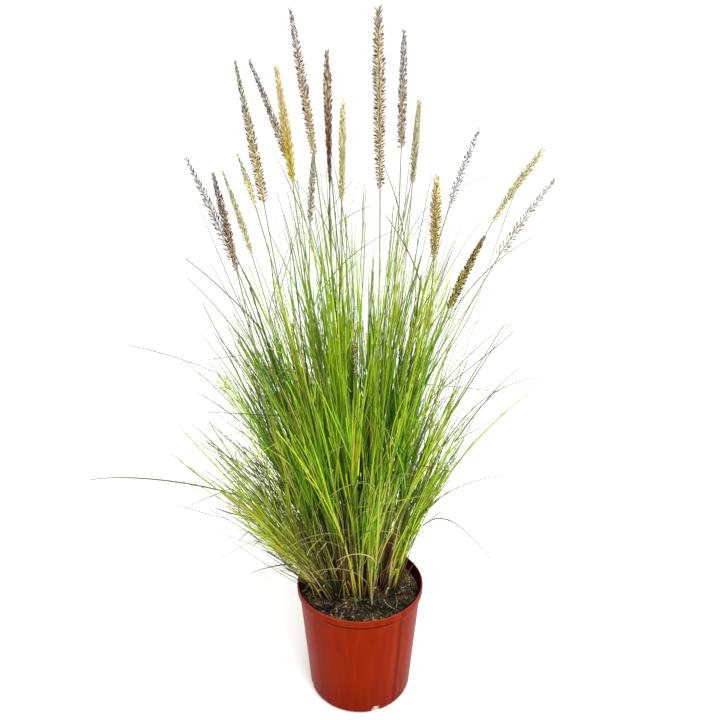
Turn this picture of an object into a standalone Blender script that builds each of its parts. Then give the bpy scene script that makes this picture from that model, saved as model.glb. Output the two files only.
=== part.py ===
"""Potted fountain grass clump: a nursery pot, its soil, flowering stems with their spikes, and leaf tufts.

Metres, +Z up. The origin is the centre of the pot's underside, and the plant's front faces -Y.
"""

import math
import random

import bmesh
import bpy
import numpy as np
from mathutils import Matrix, Vector

# ---- driving dimensions, in metres and degrees -------------------------------------------------

GAP = 0.0003  # between pieces that touch

POT_HEIGHT = 0.250
RIM_RADIUS = 0.131  # outside of the rolled lip
LIP_HEIGHT = 0.0155
LIP_THICKNESS = 0.0036
SHOULDER_RADIUS = 0.1262  # the wall just below the groove under the lip
GROOVE_HEIGHT = 0.0035
FOOT_RADIUS = 0.1075  # the wall just above the bottom corner
CORNER = 0.0085  # bottom corner, measured up the wall and in from it
POT_WALL = 0.0022
POT_STEPS = 36

DRAIN_HOLES = 4
DRAIN_RADIUS = 0.0105
DRAIN_HEIGHT = 0.0070  # of the hole's middle
DRAIN_FIRST_AZIMUTH = -162.0  # seen from above, from +X towards +Y
DRAIN_SIDES = 14

SOIL_TOP = 0.232
SOIL_EDGE_DROP = 0.005
SOIL_STEPS = 28

CLUMP_CENTRE = Vector((-0.012, 0.028, SOIL_TOP + GAP))
CLUMP_HALF_WIDTH = 0.092
CLUMP_HALF_DEPTH = 0.070

STEM_FOOT_RADIUS = 0.0019
STEM_TOP_RADIUS = 0.0010
STEM_SEGMENTS = 6
STEM_FOOT_SHARE = 0.31  # how far out a stem's foot stands, as a share of how far out its spike stands
STEM_FOOT_REACH = (0.86, 0.72)  # and at most this share of the clump's radius, for every other stem

SPIKE_RINGS = 9
SPIKE_ZIGZAG = 0.15  # how far alternate whorls of seeds stand in and out of the mean outline
SPIKE_SHARE_SOLID = 0.86  # the seeds' share of the width; the rest is loose bristles

TILLER_LENGTH = 0.135
TILLER_FOOT_RADIUS = 0.0052
TILLER_TOP_RADIUS = 0.0030
TILLER_SEGMENTS = 2
BLADE_WIDTH = 0.0056
BLADE_THICKNESS = 0.0024
BLADE_SEGMENTS = 5
BLADE_FIRST_SHARE = 0.45  # of the tiller's length, where its lowest blade leaves it
BLADE_LAST_SHARE = 0.92
BLADE_START_OFFSET = 0.0030  # of the outer blades' starts from the middle of the tiller
BLADE_ROLL = 50.0
BLADES_PER_TUFT = 5
BLADE_AZIMUTH_SPREAD = 17.0
BLADE_LEAN_SPREAD = 7.0

# Flower spikes, as measured: where the spike starts, where its tip is, and its width with bristles.
SPIKES = (
    ((-0.221, 0.020, 0.899), (-0.301, 0.030, 1.097), 0.0190),
    ((-0.207, -0.070, 0.921), (-0.228, -0.110, 1.082), 0.0145),
    ((-0.205, 0.090, 0.916), (-0.259, 0.130, 1.068), 0.0115),
    ((-0.178, -0.020, 1.023), (-0.202, -0.030, 1.108), 0.0085),
    ((-0.174, 0.060, 1.017), (-0.217, 0.090, 1.255), 0.0175),
    ((-0.137, 0.150, 1.086), (-0.211, 0.210, 1.267), 0.0135),
    ((-0.112, -0.030, 1.060), (-0.130, -0.050, 1.235), 0.0190),
    ((-0.072, -0.090, 1.108), (-0.098, -0.140, 1.307), 0.0165),
    ((-0.101, 0.190, 0.956), (-0.094, 0.260, 1.099), 0.0130),
    ((-0.053, 0.020, 1.057), (-0.055, 0.030, 1.267), 0.0160),
    ((-0.034, 0.110, 1.016), (-0.032, 0.160, 1.192), 0.0140),
    ((0.033, -0.050, 1.053), (0.027, -0.080, 1.322), 0.0205),
    ((0.075, 0.100, 1.110), (0.079, 0.150, 1.312), 0.0155),
    ((0.102, 0.170, 1.041), (0.117, 0.240, 1.196), 0.0135),
    ((0.141, -0.100, 1.028), (0.175, -0.150, 1.150), 0.0110),
    ((0.243, 0.060, 0.985), (0.333, 0.090, 1.110), 0.0125),
    ((0.235, -0.050, 0.941), (0.312, -0.080, 1.072), 0.0150),
    ((0.113, -0.170, 0.962), (0.105, -0.240, 1.084), 0.0160),
    ((0.141, -0.150, 0.874), (0.181, -0.210, 1.002), 0.0120),
    ((-0.008, -0.050, 0.726), (-0.010, -0.060, 0.799), 0.0105),
)

# Rings of leaf tufts, from the drooping skirt to the upright middle: how many, the share of the
# clump's radius at which they stand, the lean from vertical at foot and tip, the blades' length,
# the azimuth of the first tuft, and how much further the tufts on the left lean.
TUFT_RINGS = (
    (7, 0.93, 21.0, 56.0, 0.49, 180.0, 5.0),
    (7, 0.60, 12.0, 32.0, 0.63, 205.0, 3.0),
    (4, 0.25, 4.0, 13.0, 0.76, 160.0, 1.0),
)

# Long single leaves that reach out of the clump, by the tuft they grow from (counted from 1 in the
# order of the rings): the tip's place and its lean from vertical there.
LONG_LEAVES = {
    1: ((-0.500, -0.080, 0.530), 97.0),
    2: ((-0.310, -0.230, 0.410), 105.0),
    3: ((-0.030, -0.400, 0.520), 100.0),
    4: ((0.250, -0.280, 0.430), 118.0),
    5: ((0.385, -0.020, 0.720), 80.0),
    6: ((0.300, 0.330, 0.560), 92.0),
    7: ((-0.090, 0.430, 0.600), 88.0),
    8: ((-0.425, 0.010, 0.770), 70.0),
    9: ((-0.200, -0.300, 0.800), 55.0),
    12: ((0.350, 0.050, 0.850), 48.0),
    14: ((-0.315, 0.150, 0.955), 42.0),
}

SEED = 11
TRIES = 400  # small turns given to a tiller or a blade until it is clear of its neighbours


# ---- helpers -----------------------------------------------------------------------------------

def collection(name, parent=None):
    """A collection under the scene's own, or under another collection."""
    made = bpy.data.collections.new(name)
    (parent or bpy.context.scene.collection).children.link(made)
    return made


def material(name, rgb, roughness):
    """A Principled material of one linear colour."""
    made = bpy.data.materials.new(name)
    made.use_nodes = True
    shader = made.node_tree.nodes["Principled BSDF"]
    shader.inputs["Base Color"].default_value = (*rgb, 1.0)
    shader.inputs["Roughness"].default_value = roughness
    shader.inputs["Metallic"].default_value = 0.0
    return made


def add_object(name, data, where, finish):
    """An object in a collection, with its material."""
    made = bpy.data.objects.new(name, data)
    where.objects.link(made)
    data.materials.append(finish)
    return made


def as_cutter(obj):
    """Marks an object as a tool for a Boolean, which is not a piece of the plant."""
    obj.hide_render = True
    obj.display_type = "WIRE"


def turned(name, profile, steps, where, finish):
    """A solid of revolution about Z; the profile runs down its outer side, from axis to axis."""
    mesh = bpy.data.meshes.new(name)
    points = [(radius, 0.0, height) for radius, height in profile]
    mesh.from_pydata(points, [(i, i + 1) for i in range(len(points) - 1)], [])
    made = add_object(name, mesh, where, finish)
    screw = made.modifiers.new("Turn", "SCREW")
    screw.steps = steps
    screw.render_steps = steps
    screw.use_merge_vertices = True
    screw.merge_threshold = 0.0001
    return made


def swept(name, path, radii, where, finish, sides=4, section=None, roll=0.0):
    """A closed tube along a path of points, or the sweep of a rolled section, with a radius at each point."""
    curve = bpy.data.curves.new(name, "CURVE")
    curve.dimensions = "3D"
    curve.twist_mode = "Z_UP"
    curve.use_fill_caps = True
    curve.resolution_u = 1
    if section is None:
        curve.bevel_depth = 1.0
        curve.bevel_resolution = (sides - 4) // 2
    else:
        curve.bevel_mode = "OBJECT"
        curve.bevel_object = section
    spline = curve.splines.new("POLY")
    spline.points.add(len(path) - 1)
    for point, place, radius in zip(spline.points, path, radii):
        point.co = (*place, 1.0)
        point.radius = radius
        point.tilt = math.radians(roll)
    drawn = bpy.data.objects.new(name + "_curve", curve)
    where.objects.link(drawn)
    bpy.context.view_layer.update()
    evaluated = drawn.evaluated_get(bpy.context.evaluated_depsgraph_get())
    mesh = bpy.data.meshes.new_from_object(evaluated)
    bpy.data.objects.remove(drawn)
    bpy.data.curves.remove(curve)
    shape = bmesh.new()
    shape.from_mesh(mesh)
    bmesh.ops.remove_doubles(shape, verts=shape.verts, dist=0.00001)
    bmesh.ops.recalc_face_normals(shape, faces=shape.faces)
    shape.to_mesh(mesh)
    shape.free()
    mesh.name = name
    mesh.materials.clear()
    return add_object(name, mesh, where, finish)


def heading(lean, azimuth):
    """The direction that leans so many degrees from vertical towards an azimuth."""
    lean = math.radians(lean)
    azimuth = math.radians(azimuth)
    return Vector((math.sin(lean) * math.cos(azimuth), math.sin(lean) * math.sin(azimuth), math.cos(lean)))


def cubic(start, start_heading, end, end_heading, segments, reach=0.36):
    """Points on a cubic curve between two places, with a direction given at each."""
    span = (end - start).length * reach
    handle_a = start + start_heading * span
    handle_b = end - end_heading * span
    points = []
    for i in range(segments + 1):
        t = i / segments
        s = 1.0 - t
        points.append(start * s**3 + handle_a * (3 * s * s * t) + handle_b * (3 * s * t * t) + end * t**3)
    return points


def segment_distances(a0, a1, b0, b1):
    """The shortest distance from one segment to each of many, as an array."""
    u = a1 - a0
    v = b1 - b0
    w = a0 - b0
    uu = float(u @ u)
    vv = np.einsum("ij,ij->i", v, v)
    uv = v @ u
    uw = w @ u
    vw = np.einsum("ij,ij->i", v, w)
    s = np.clip((uv * vw - vv * uw) / np.maximum(uu * vv - uv * uv, 1e-18), 0.0, 1.0)
    t = np.clip((uv * s + vw) / vv, 0.0, 1.0)
    s = np.clip((uv * t - uw) / uu, 0.0, 1.0)
    apart = w + s[:, None] * u - t[:, None] * v
    return np.linalg.norm(apart, axis=1)


class Crowd:
    """The stems and blades placed so far, as thick segments, so that the next one keeps clear of them."""

    def __init__(self):
        self.starts = np.empty((0, 3))
        self.ends = np.empty((0, 3))
        self.radii = np.empty(0)
        self.owners = np.empty(0, dtype=int)

    def add(self, path, radii, owner):
        points = np.array(path)
        self.starts = np.vstack([self.starts, points[:-1]])
        self.ends = np.vstack([self.ends, points[1:]])
        self.radii = np.append(self.radii, np.maximum(radii[:-1], radii[1:]))
        self.owners = np.append(self.owners, np.full(len(points) - 1, owner))

    def is_clear(self, path, radii, owner):
        others = self.owners != owner
        if not others.any():
            return True
        points = np.array(path)
        for i in range(len(points) - 1):
            away = segment_distances(points[i], points[i + 1], self.starts[others], self.ends[others])
            if (away < self.radii[others] + max(radii[i], radii[i + 1]) + 2 * GAP).any():
                return False
        return True


# ---- the pot and its soil ----------------------------------------------------------------------

SHOULDER_HEIGHT = POT_HEIGHT - LIP_HEIGHT - GROOVE_HEIGHT


def wall_radius(height):
    """The pot's outer radius between the bottom corner and the shoulder."""
    share = (height - CORNER) / (SHOULDER_HEIGHT - CORNER)
    return FOOT_RADIUS + (SHOULDER_RADIUS - FOOT_RADIUS) * share


def pot_profile():
    """Half section of the pot: the inner floor, up the inside, over the lip and down the outside."""
    lip_bottom = POT_HEIGHT - LIP_HEIGHT
    inner_lip = RIM_RADIUS - LIP_THICKNESS
    inside = [
        (0.0, POT_WALL),
        (FOOT_RADIUS - CORNER - 0.0010, POT_WALL),
        (FOOT_RADIUS - POT_WALL - 0.0004, CORNER + 0.0006),
        (SHOULDER_RADIUS - POT_WALL, SHOULDER_HEIGHT),
        (inner_lip, lip_bottom + 0.0030),
        (inner_lip, POT_HEIGHT - 0.0012),
    ]
    lip = [
        (inner_lip + 0.0011, POT_HEIGHT),
        (RIM_RADIUS - 0.0012, POT_HEIGHT - 0.0003),
        (RIM_RADIUS, POT_HEIGHT - 0.0022),
        (RIM_RADIUS - 0.0012, lip_bottom + 0.0008),
        (RIM_RADIUS - 0.0024, lip_bottom),
    ]
    outside = [
        (SHOULDER_RADIUS + 0.0007, lip_bottom - 0.0010),
        (SHOULDER_RADIUS + 0.0004, SHOULDER_HEIGHT + 0.0006),
        (SHOULDER_RADIUS, SHOULDER_HEIGHT),
        (FOOT_RADIUS, CORNER),
        (FOOT_RADIUS - 0.0022, CORNER * 0.35),
        (FOOT_RADIUS - CORNER, 0.0),
        (0.0, 0.0),
    ]
    return inside + lip + outside


def make_pot(where, cutters, finish):
    """The nursery pot: one turned wall, with arched drain holes cut through the bottom corner."""
    pot = turned("pot", pot_profile(), POT_STEPS, where, finish)
    for i in range(DRAIN_HOLES):
        azimuth = math.radians(DRAIN_FIRST_AZIMUTH + 360.0 * i / DRAIN_HOLES)
        outward = Vector((math.cos(azimuth), math.sin(azimuth), 0.0))
        shape = bmesh.new()
        bmesh.ops.create_cone(shape, cap_ends=True, segments=DRAIN_SIDES, radius1=DRAIN_RADIUS,
                              radius2=DRAIN_RADIUS, depth=3 * CORNER)
        mesh = bpy.data.meshes.new("drain_hole_%d" % (i + 1))
        shape.to_mesh(mesh)
        shape.free()
        drill = add_object(mesh.name, mesh, cutters, finish)
        turn = outward.to_track_quat("Z", "Y").to_matrix().to_4x4()
        drill.matrix_world = Matrix.Translation(outward * FOOT_RADIUS + Vector((0, 0, DRAIN_HEIGHT))) @ turn
        as_cutter(drill)
        cut = pot.modifiers.new("Drain hole", "BOOLEAN")
        cut.operation = "DIFFERENCE"
        cut.object = drill
    return pot


def make_soil(where, finish):
    """The soil: it fills the pot to a little below the lip, level under the clump and lower at the wall."""
    clear = POT_WALL + GAP
    bottom = POT_WALL + GAP
    edge_height = SOIL_TOP - SOIL_EDGE_DROP
    profile = [
        (0.0, SOIL_TOP),
        (0.060, SOIL_TOP),
        (0.112, SOIL_TOP),
        (wall_radius(edge_height) - clear - 0.0010, edge_height),
        (wall_radius(edge_height - 0.010) - clear - 0.0006, edge_height - 0.010),
        (FOOT_RADIUS - clear - 0.0012, CORNER + 0.0012),
        (FOOT_RADIUS - CORNER - 0.0022, bottom),
        (0.0, bottom),
    ]
    return turned("potting_soil", profile, SOIL_STEPS, where, finish)


# ---- flowering stems and spikes ----------------------------------------------------------------

def spike_heading(base, tip):
    """The direction in which a stem ends and its spike starts: a little steeper than the spike."""
    return ((tip - base).normalized() + Vector((0.0, 0.0, 0.14))).normalized()


def stem_foot(number, base):
    """Where a stem grows out of the soil: it stands in the clump as its spike stands in the plant."""
    offset = Vector((base.x - CLUMP_CENTRE.x, base.y - CLUMP_CENTRE.y))
    foot = offset * STEM_FOOT_SHARE
    reach = math.hypot(foot.x / CLUMP_HALF_WIDTH, foot.y / CLUMP_HALF_DEPTH)
    most = STEM_FOOT_REACH[number % 2]
    if reach > most:
        foot *= most / reach
    return CLUMP_CENTRE + Vector((foot.x, foot.y, 0.0))


def stem_path(number, base, tip):
    """The stem's centreline, steep at the soil and in line with its spike at the top."""
    foot = stem_foot(number, base)
    top_heading = spike_heading(base, tip)
    straight = (base - foot).normalized()
    foot_heading = (straight * 2.0 - top_heading * 0.6 + Vector((0.0, 0.0, 0.3))).normalized()
    foot.z += STEM_FOOT_RADIUS * math.hypot(foot_heading.x, foot_heading.y)
    return cubic(foot, foot_heading, base - top_heading * GAP, top_heading, STEM_SEGMENTS)


def spike_path(base, tip):
    """The spike's centreline, which nods a little towards its tip."""
    start_heading = spike_heading(base, tip)
    end_heading = ((tip - base).normalized() * 2.0 - start_heading).normalized()
    return cubic(base, start_heading, tip, end_heading, SPIKE_RINGS - 1)


def spike_radii(width):
    """Radii from the spike's base to its tip: a spindle whose whorls of seeds stand in and out."""
    full = width * 0.5 * SPIKE_SHARE_SOLID
    radii = []
    for i in range(SPIKE_RINGS):
        t = i / (SPIKE_RINGS - 1)
        outline = min(1.0, 0.30 + 5.5 * t) * (1.0 - 0.88 * t**3.2)
        radii.append(full * outline * (1.0 + SPIKE_ZIGZAG * (-1) ** i))
    return radii


def make_flowers(where, stem_finish, spike_finish, crowd):
    """Twenty stems, each with its spike on its end."""
    for number, (base, tip, width) in enumerate(SPIKES, 1):
        base, tip = Vector(base), Vector(tip)
        path = stem_path(number, base, tip)
        radii = list(np.linspace(STEM_FOOT_RADIUS, STEM_TOP_RADIUS, len(path)))
        swept("flower_stem_%02d" % number, path, radii, where, stem_finish)
        crowd.add(path, radii, -number)
        path = spike_path(base, tip)
        radii = spike_radii(width)
        swept("flower_spike_%02d" % number, path, radii, where, spike_finish, sides=6)
        crowd.add(path, radii, -number)


# ---- leaf tufts --------------------------------------------------------------------------------

def blade_section():
    """The blade's cross-section at its widest: a flat triangle, keel down."""
    outline = bpy.data.curves.new("blade_section", "CURVE")
    outline.dimensions = "2D"
    spline = outline.splines.new("POLY")
    spline.points.add(2)
    spline.use_cyclic_u = True
    half = BLADE_WIDTH / 2
    corners = ((-half, BLADE_THICKNESS / 2), (half, BLADE_THICKNESS / 2), (0.0, -BLADE_THICKNESS / 2))
    for point, (x, y) in zip(spline.points, corners):
        point.co = (x, y, 0.0, 1.0)
    return bpy.data.objects.new("blade_section", outline)


def arching_path(start, tiller, azimuth, lean, length):
    """A blade's centreline: along its tiller at first, then further over to its own azimuth and lean."""
    tiller_lean, tiller_azimuth = tiller
    fine = 6
    place = start.copy()
    path = [place.copy()]
    count = BLADE_SEGMENTS * fine
    for i in range(count):
        t = (i + 0.5) / count
        turned_by = min(1.0, 2.5 * t)
        now = heading(tiller_lean + (lean - tiller_lean) * t**1.15,
                      tiller_azimuth + (azimuth - tiller_azimuth) * turned_by)
        place += now * (length / count)
        if (i + 1) % fine == 0:
            path.append(place.copy())
    return path


BLADE_SHARES = (1.0, 1.0, 0.95, 0.82, 0.58, 0.14)  # the blade's width along its length


def tuft_layout():
    """Each tuft's number, foot, lean and azimuth of its tiller, and its blades' mean lean and length."""
    number = 0
    for count, share, foot_lean, tip_lean, length, first, left_extra in TUFT_RINGS:
        for i in range(count):
            number += 1
            azimuth = first + 360.0 * i / count
            round_left = max(0.0, -math.cos(math.radians(azimuth)))
            foot = CLUMP_CENTRE + Vector((
                CLUMP_HALF_WIDTH * share * math.cos(math.radians(azimuth)),
                CLUMP_HALF_DEPTH * share * math.sin(math.radians(azimuth)),
                0.0,
            ))
            yield number, foot, (foot_lean, azimuth), tip_lean + left_extra * round_left, length


def tuft_blades(number, tiller, mean_lean, length):
    """Each blade's side of the tiller, and a function that gives its centreline from a start and a wobble.

    One blade goes up the middle and the others round it; the outermost gives way to a long leaf.
    """
    others = BLADES_PER_TUFT - 1
    spread = BLADE_AZIMUTH_SPREAD * (56.0 / (mean_lean + 20.0)) ** 0.5
    yield (0.0, 0.0), arching(tiller, tiller[1], mean_lean, length * 1.06)
    for k in range(others):
        turn = math.radians(90.0 + 360.0 * k / others)
        side = (math.cos(turn), math.sin(turn))
        if k == 0 and number in LONG_LEAVES:
            yield side, reaching(tiller, *LONG_LEAVES[number])
        else:
            azimuth = tiller[1] + spread * side[0]
            lean = mean_lean + BLADE_LEAN_SPREAD * side[1]
            yield side, arching(tiller, azimuth, lean, length * (1.0 - 0.10 * side[1]))


def arching(tiller, azimuth, lean, length):
    """A leaf that goes along its tiller at first, then further over to its own azimuth and lean."""
    def centreline(start, wobble_a, wobble_b):
        return arching_path(start, tiller, azimuth + 4.0 * wobble_a, lean + 3.0 * wobble_b, length)
    return centreline


def reaching(tiller, tip, tip_lean):
    """A long leaf that ends at a given place."""
    def centreline(start, wobble_a, wobble_b):
        moved = Vector(tip) + Vector((0.0, 0.02 * wobble_a, 0.01 * wobble_b))
        azimuth = math.degrees(math.atan2(moved.y - start.y, moved.x - start.x))
        return cubic(start, heading(*tiller), moved, heading(tip_lean, azimuth), BLADE_SEGMENTS, 0.40)
    return centreline


def place_tiller(number, foot, tiller, crowd):
    """The tiller's centreline and heading, turned a little where a neighbour stands in its way."""
    rng = random.Random(SEED * 1000 + number)
    radii = list(np.linspace(TILLER_FOOT_RADIUS, TILLER_TOP_RADIUS, TILLER_SEGMENTS + 1))
    for attempt in range(TRIES):
        moved = foot + Vector((rng.uniform(-1, 1), rng.uniform(-1, 1), 0.0)) * 0.00006 * attempt
        lean = tiller[0] + rng.uniform(-1, 1) * 0.02 * attempt
        azimuth = tiller[1] + rng.uniform(-1, 1) * 0.05 * attempt
        moved.z += TILLER_FOOT_RADIUS * math.sin(math.radians(lean))
        along = heading(lean, azimuth) * TILLER_LENGTH
        path = [moved + along * (i / TILLER_SEGMENTS) for i in range(TILLER_SEGMENTS + 1)]
        if crowd.is_clear(path, radii, number) and crowd.is_clear([moved, moved + 2 * along],
                                                                  [2 * BLADE_WIDTH] * 2, number):
            crowd.add(path, radii, number)
            return path, radii, (lean, azimuth)
    raise RuntimeError("no room for tiller %d" % number)


def make_tuft(number, foot, tiller, mean_lean, length, where, cutters, section, finish, crowd):
    """A tiller and its blades, which the last step joins in one solid."""
    rng = random.Random(SEED * 100 + number)
    path, radii, tiller = place_tiller(number, foot, tiller, crowd)
    name = "leaf_tuft_%02d" % number
    sheath = swept(name, path, radii, where, finish, sides=6)
    blades = collection(name + "_blades", cutters)
    outward = heading(tiller[0] + 90.0, tiller[1])
    across = heading(90.0, tiller[1] + 90.0)
    radii = [BLADE_WIDTH / 2 * share for share in BLADE_SHARES]
    for k, (side, centreline) in enumerate(tuft_blades(number, tiller, mean_lean, length)):
        share = BLADE_FIRST_SHARE + (BLADE_LAST_SHARE - BLADE_FIRST_SHARE) * k / (BLADES_PER_TUFT - 1)
        start = path[0].lerp(path[-1], share) + (across * side[0] + outward * side[1]) * BLADE_START_OFFSET
        for attempt in range(TRIES):
            wobble = attempt / 100
            blade = centreline(start, rng.uniform(-1, 1) * wobble, rng.uniform(-1, 1) * wobble)
            if crowd.is_clear(blade, radii, number):
                break
        else:
            raise RuntimeError("no room for blade %d of tuft %d" % (k + 1, number))
        crowd.add(blade, radii, number)
        roll = rng.uniform(-BLADE_ROLL, BLADE_ROLL)
        as_cutter(swept("%s_blade_%d" % (name, k + 1), blade, BLADE_SHARES, blades, finish,
                        section=section, roll=roll))
    return sheath, blades


def grow_together(sheath, blades):
    """Joins a tiller with the blades that grow out of it."""
    join = sheath.modifiers.new("Grown together", "BOOLEAN")
    join.operation = "UNION"
    join.operand_type = "COLLECTION"
    join.collection = blades


# ---- the whole plant ---------------------------------------------------------------------------

for leftover in list(bpy.data.objects):
    bpy.data.objects.remove(leftover)

plant = collection("potted_fountain_grass")
cutters = collection("cutters")
terracotta_plastic = material("Terracotta moulded plastic", (0.36, 0.065, 0.032), 0.35)
potting_mix = material("Potting mix", (0.030, 0.021, 0.014), 0.95)
green_cane = material("Green cane", (0.24, 0.33, 0.06), 0.55)
seed_and_bristle = material("Seed and bristle", (0.42, 0.31, 0.19), 0.85)
grass_leaf = material("Grass leaf", (0.17, 0.33, 0.035), 0.55)

crowd = Crowd()
make_flowers(plant, green_cane, seed_and_bristle, crowd)
section = blade_section()
tufts = [make_tuft(*layout, plant, cutters, section, grass_leaf, crowd) for layout in tuft_layout()]
for sheath, blades in tufts:
    grow_together(sheath, blades)
make_soil(plant, potting_mix)
make_pot(plant, cutters, terracotta_plastic)
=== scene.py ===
"""Potted fountain grass clump: the looks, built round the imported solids.

Metres, +Z up, in the frame of the solids: the origin is the centre of the pot's underside, and the
plant's front faces -Y.
"""

import math

import bmesh
import bpy
import numpy as np
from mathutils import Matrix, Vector, noise


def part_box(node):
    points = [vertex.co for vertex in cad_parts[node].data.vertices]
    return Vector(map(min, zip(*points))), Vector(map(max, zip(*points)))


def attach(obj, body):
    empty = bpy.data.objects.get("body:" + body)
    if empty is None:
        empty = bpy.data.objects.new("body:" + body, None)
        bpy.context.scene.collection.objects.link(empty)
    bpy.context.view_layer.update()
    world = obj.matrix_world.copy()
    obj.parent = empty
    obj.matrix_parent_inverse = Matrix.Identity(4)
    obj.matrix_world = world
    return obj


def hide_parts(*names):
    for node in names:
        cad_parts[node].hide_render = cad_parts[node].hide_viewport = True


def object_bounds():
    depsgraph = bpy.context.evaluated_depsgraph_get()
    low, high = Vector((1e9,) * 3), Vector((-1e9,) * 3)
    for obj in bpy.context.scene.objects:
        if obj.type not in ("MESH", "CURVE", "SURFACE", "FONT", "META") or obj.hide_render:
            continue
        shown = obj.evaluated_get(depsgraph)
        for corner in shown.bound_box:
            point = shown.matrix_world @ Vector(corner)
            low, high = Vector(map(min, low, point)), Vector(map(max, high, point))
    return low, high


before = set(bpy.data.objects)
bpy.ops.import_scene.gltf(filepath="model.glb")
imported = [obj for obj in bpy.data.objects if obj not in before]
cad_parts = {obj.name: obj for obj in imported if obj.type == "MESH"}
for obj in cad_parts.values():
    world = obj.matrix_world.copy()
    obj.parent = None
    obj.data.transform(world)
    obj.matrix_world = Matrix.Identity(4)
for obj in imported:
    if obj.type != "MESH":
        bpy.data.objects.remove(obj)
cad_box = [list(corner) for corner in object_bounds()]
bpy.ops.object.select_all(action="DESELECT")


# ---- The nursery pot ---------------------------------------------------------------------------
# A blow-moulded polyethylene pot, terracotta coloured: one thin wall that tapers to a rounded
# corner, with a rolled lip, a groove under it, seven faint upright flats left by the mould, and four
# drain holes through the bottom corner. Its section is extruded point by point and spun.

POT_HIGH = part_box("pot")[1]
RIM_RADIUS = POT_HIGH.x
POT_HEIGHT = POT_HIGH.z
LIP_HEIGHT = 0.0155
LIP_THICKNESS = 0.0036
SHOULDER_RADIUS = RIM_RADIUS - 0.0048
FOOT_RADIUS = 0.1075
BOTTOM_FLAT = 0.060
CORNER = 0.0085
INNER_CORNER = 0.0075
LIP_ROUND = 0.0018
POT_WALL = 0.0022
POT_STEPS = 144
# Heights of the rings of points that take up the sag and the flats, up the inside and down the outside.
INSIDE_RINGS = (0.03, 0.06, 0.09, 0.12, 0.15, 0.18, 0.21)
OUTSIDE_RINGS = (0.2285, 0.226, 0.215, 0.20, 0.17, 0.14, 0.11, 0.08, 0.05, 0.025, 0.015)
# The wall sags inwards a little as it cools, most at right angles to this azimuth.
WALL_SAG = 0.00025
SAG_AZIMUTH = -20.0
# Flats left by the mould: from and to which azimuth, and how flat.
MOULD_FLATS = ((-47.5, -37.5, 1.0), (-137.5, -120.0, 0.45), (-117.5, -100.0, 0.30), (42.5, 52.5, 1.0),
               (62.5, 80.0, 0.30), (132.5, 142.5, 1.0), (152.5, 170.0, 0.45))
DRAIN_RADIUS = 0.0105
DRAIN_HEIGHT = 0.0070
DRAIN_AZIMUTHS = (-162.0, -72.0, 18.0, 108.0)
# One of the two parting lines; the other is opposite. Then how light the skin is across half a turn round
# the pot with a parting line in its middle, and from below the groove to the top of the lip: 0.5 is as it is.
# Both are painted light and shade: a painted highlight band beside each parting line with a painted dark
# line along it, and a painted highlight line low down with a painted shadow just under the lip.
SEAM_AZIMUTH = -49.3
ROUND_THE_SEAM = ((0.0, 0.48), (0.070, 0.47), (0.090, 0.52), (0.440, 0.50), (0.456, 0.60),
                  (0.480, 0.62), (0.492, 0.34), (0.508, 0.34), (0.520, 0.53), (0.60, 0.50))
UP_THE_LIP = ((0.0, 0.50), (0.14, 0.50), (0.20, 0.60), (0.26, 0.58), (0.30, 0.10),
              (0.50, 0.10), (0.54, 0.44), (0.62, 0.50), (1.0, 0.50))


def srgb(code):
    """A linear colour from an sRGB hex code."""
    channels = [int(code[i:i + 2], 16) / 255 for i in (1, 3, 5)]
    return [c / 12.92 if c <= 0.04045 else ((c + 0.055) / 1.055) ** 2.4 for c in channels]


def add_node(tree, kind, inputs=None, output=None, **settings):
    """Adds a shader node and returns the output named, or else the first in use. An input is a value, a
    hex colour or another node's output."""
    made = tree.nodes.new(kind)
    for key, value in settings.items():
        setattr(made, key, value)
    for socket, value in (inputs or {}).items():
        if isinstance(value, bpy.types.NodeSocket):
            tree.links.new(value, made.inputs[socket])
        elif isinstance(value, str):
            made.inputs[socket].default_value = (*srgb(value), 1)
        else:
            made.inputs[socket].default_value = value
    if output:
        return made.outputs[output]
    return next(socket for socket in made.outputs if socket.enabled)


def new_material(name, roughness, ior):
    """A material with a Principled shader: returns it with its node tree and the shader."""
    made = bpy.data.materials.new(name)
    made.use_nodes = True
    shader = made.node_tree.nodes["Principled BSDF"]
    shader.inputs["Roughness"].default_value = roughness
    shader.inputs["IOR"].default_value = ior
    return made, made.node_tree, shader


def rounded(section, corner, start, end, radius, count):
    """Adds an arc about a corner's centre to a section of (radius, height) points."""
    for i in range(count):
        angle = math.radians(start + (end - start) * i / (count - 1))
        section.append((corner[0] + radius * math.cos(angle), corner[1] + radius * math.sin(angle)))


def spun(name, section, steps):
    """A solid of revolution: a closed or axis-to-axis section is extruded point by point, then spun."""
    bpy.ops.mesh.primitive_plane_add(size=0.01)
    made = bpy.context.object
    made.name = name
    made.data.name = name
    bpy.ops.object.mode_set(mode="EDIT")
    bpy.ops.mesh.merge(type="CENTER")
    bpy.ops.transform.translate(value=(section[0][0], 0.0, section[0][1]))
    for (r0, z0), (r1, z1) in zip(section, section[1:]):
        bpy.ops.mesh.extrude_region_move(TRANSFORM_OT_translate={"value": (r1 - r0, 0.0, z1 - z0)})
    bpy.ops.mesh.select_all(action="SELECT")
    bpy.ops.mesh.spin(steps=steps, angle=math.tau, center=(0, 0, 0), axis=(0, 0, 1))
    bpy.ops.mesh.select_all(action="SELECT")
    bpy.ops.mesh.remove_doubles(threshold=0.00002)
    bpy.ops.mesh.normals_make_consistent(inside=False)
    bpy.ops.object.mode_set(mode="OBJECT")
    return made


def wall_radius(height):
    """The pot's outer radius at a height between its corner and its shoulder."""
    shoulder = POT_HEIGHT - LIP_HEIGHT - 0.0035
    return FOOT_RADIUS + (SHOULDER_RADIUS - FOOT_RADIUS) * (height - CORNER) / (shoulder - CORNER)


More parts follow.
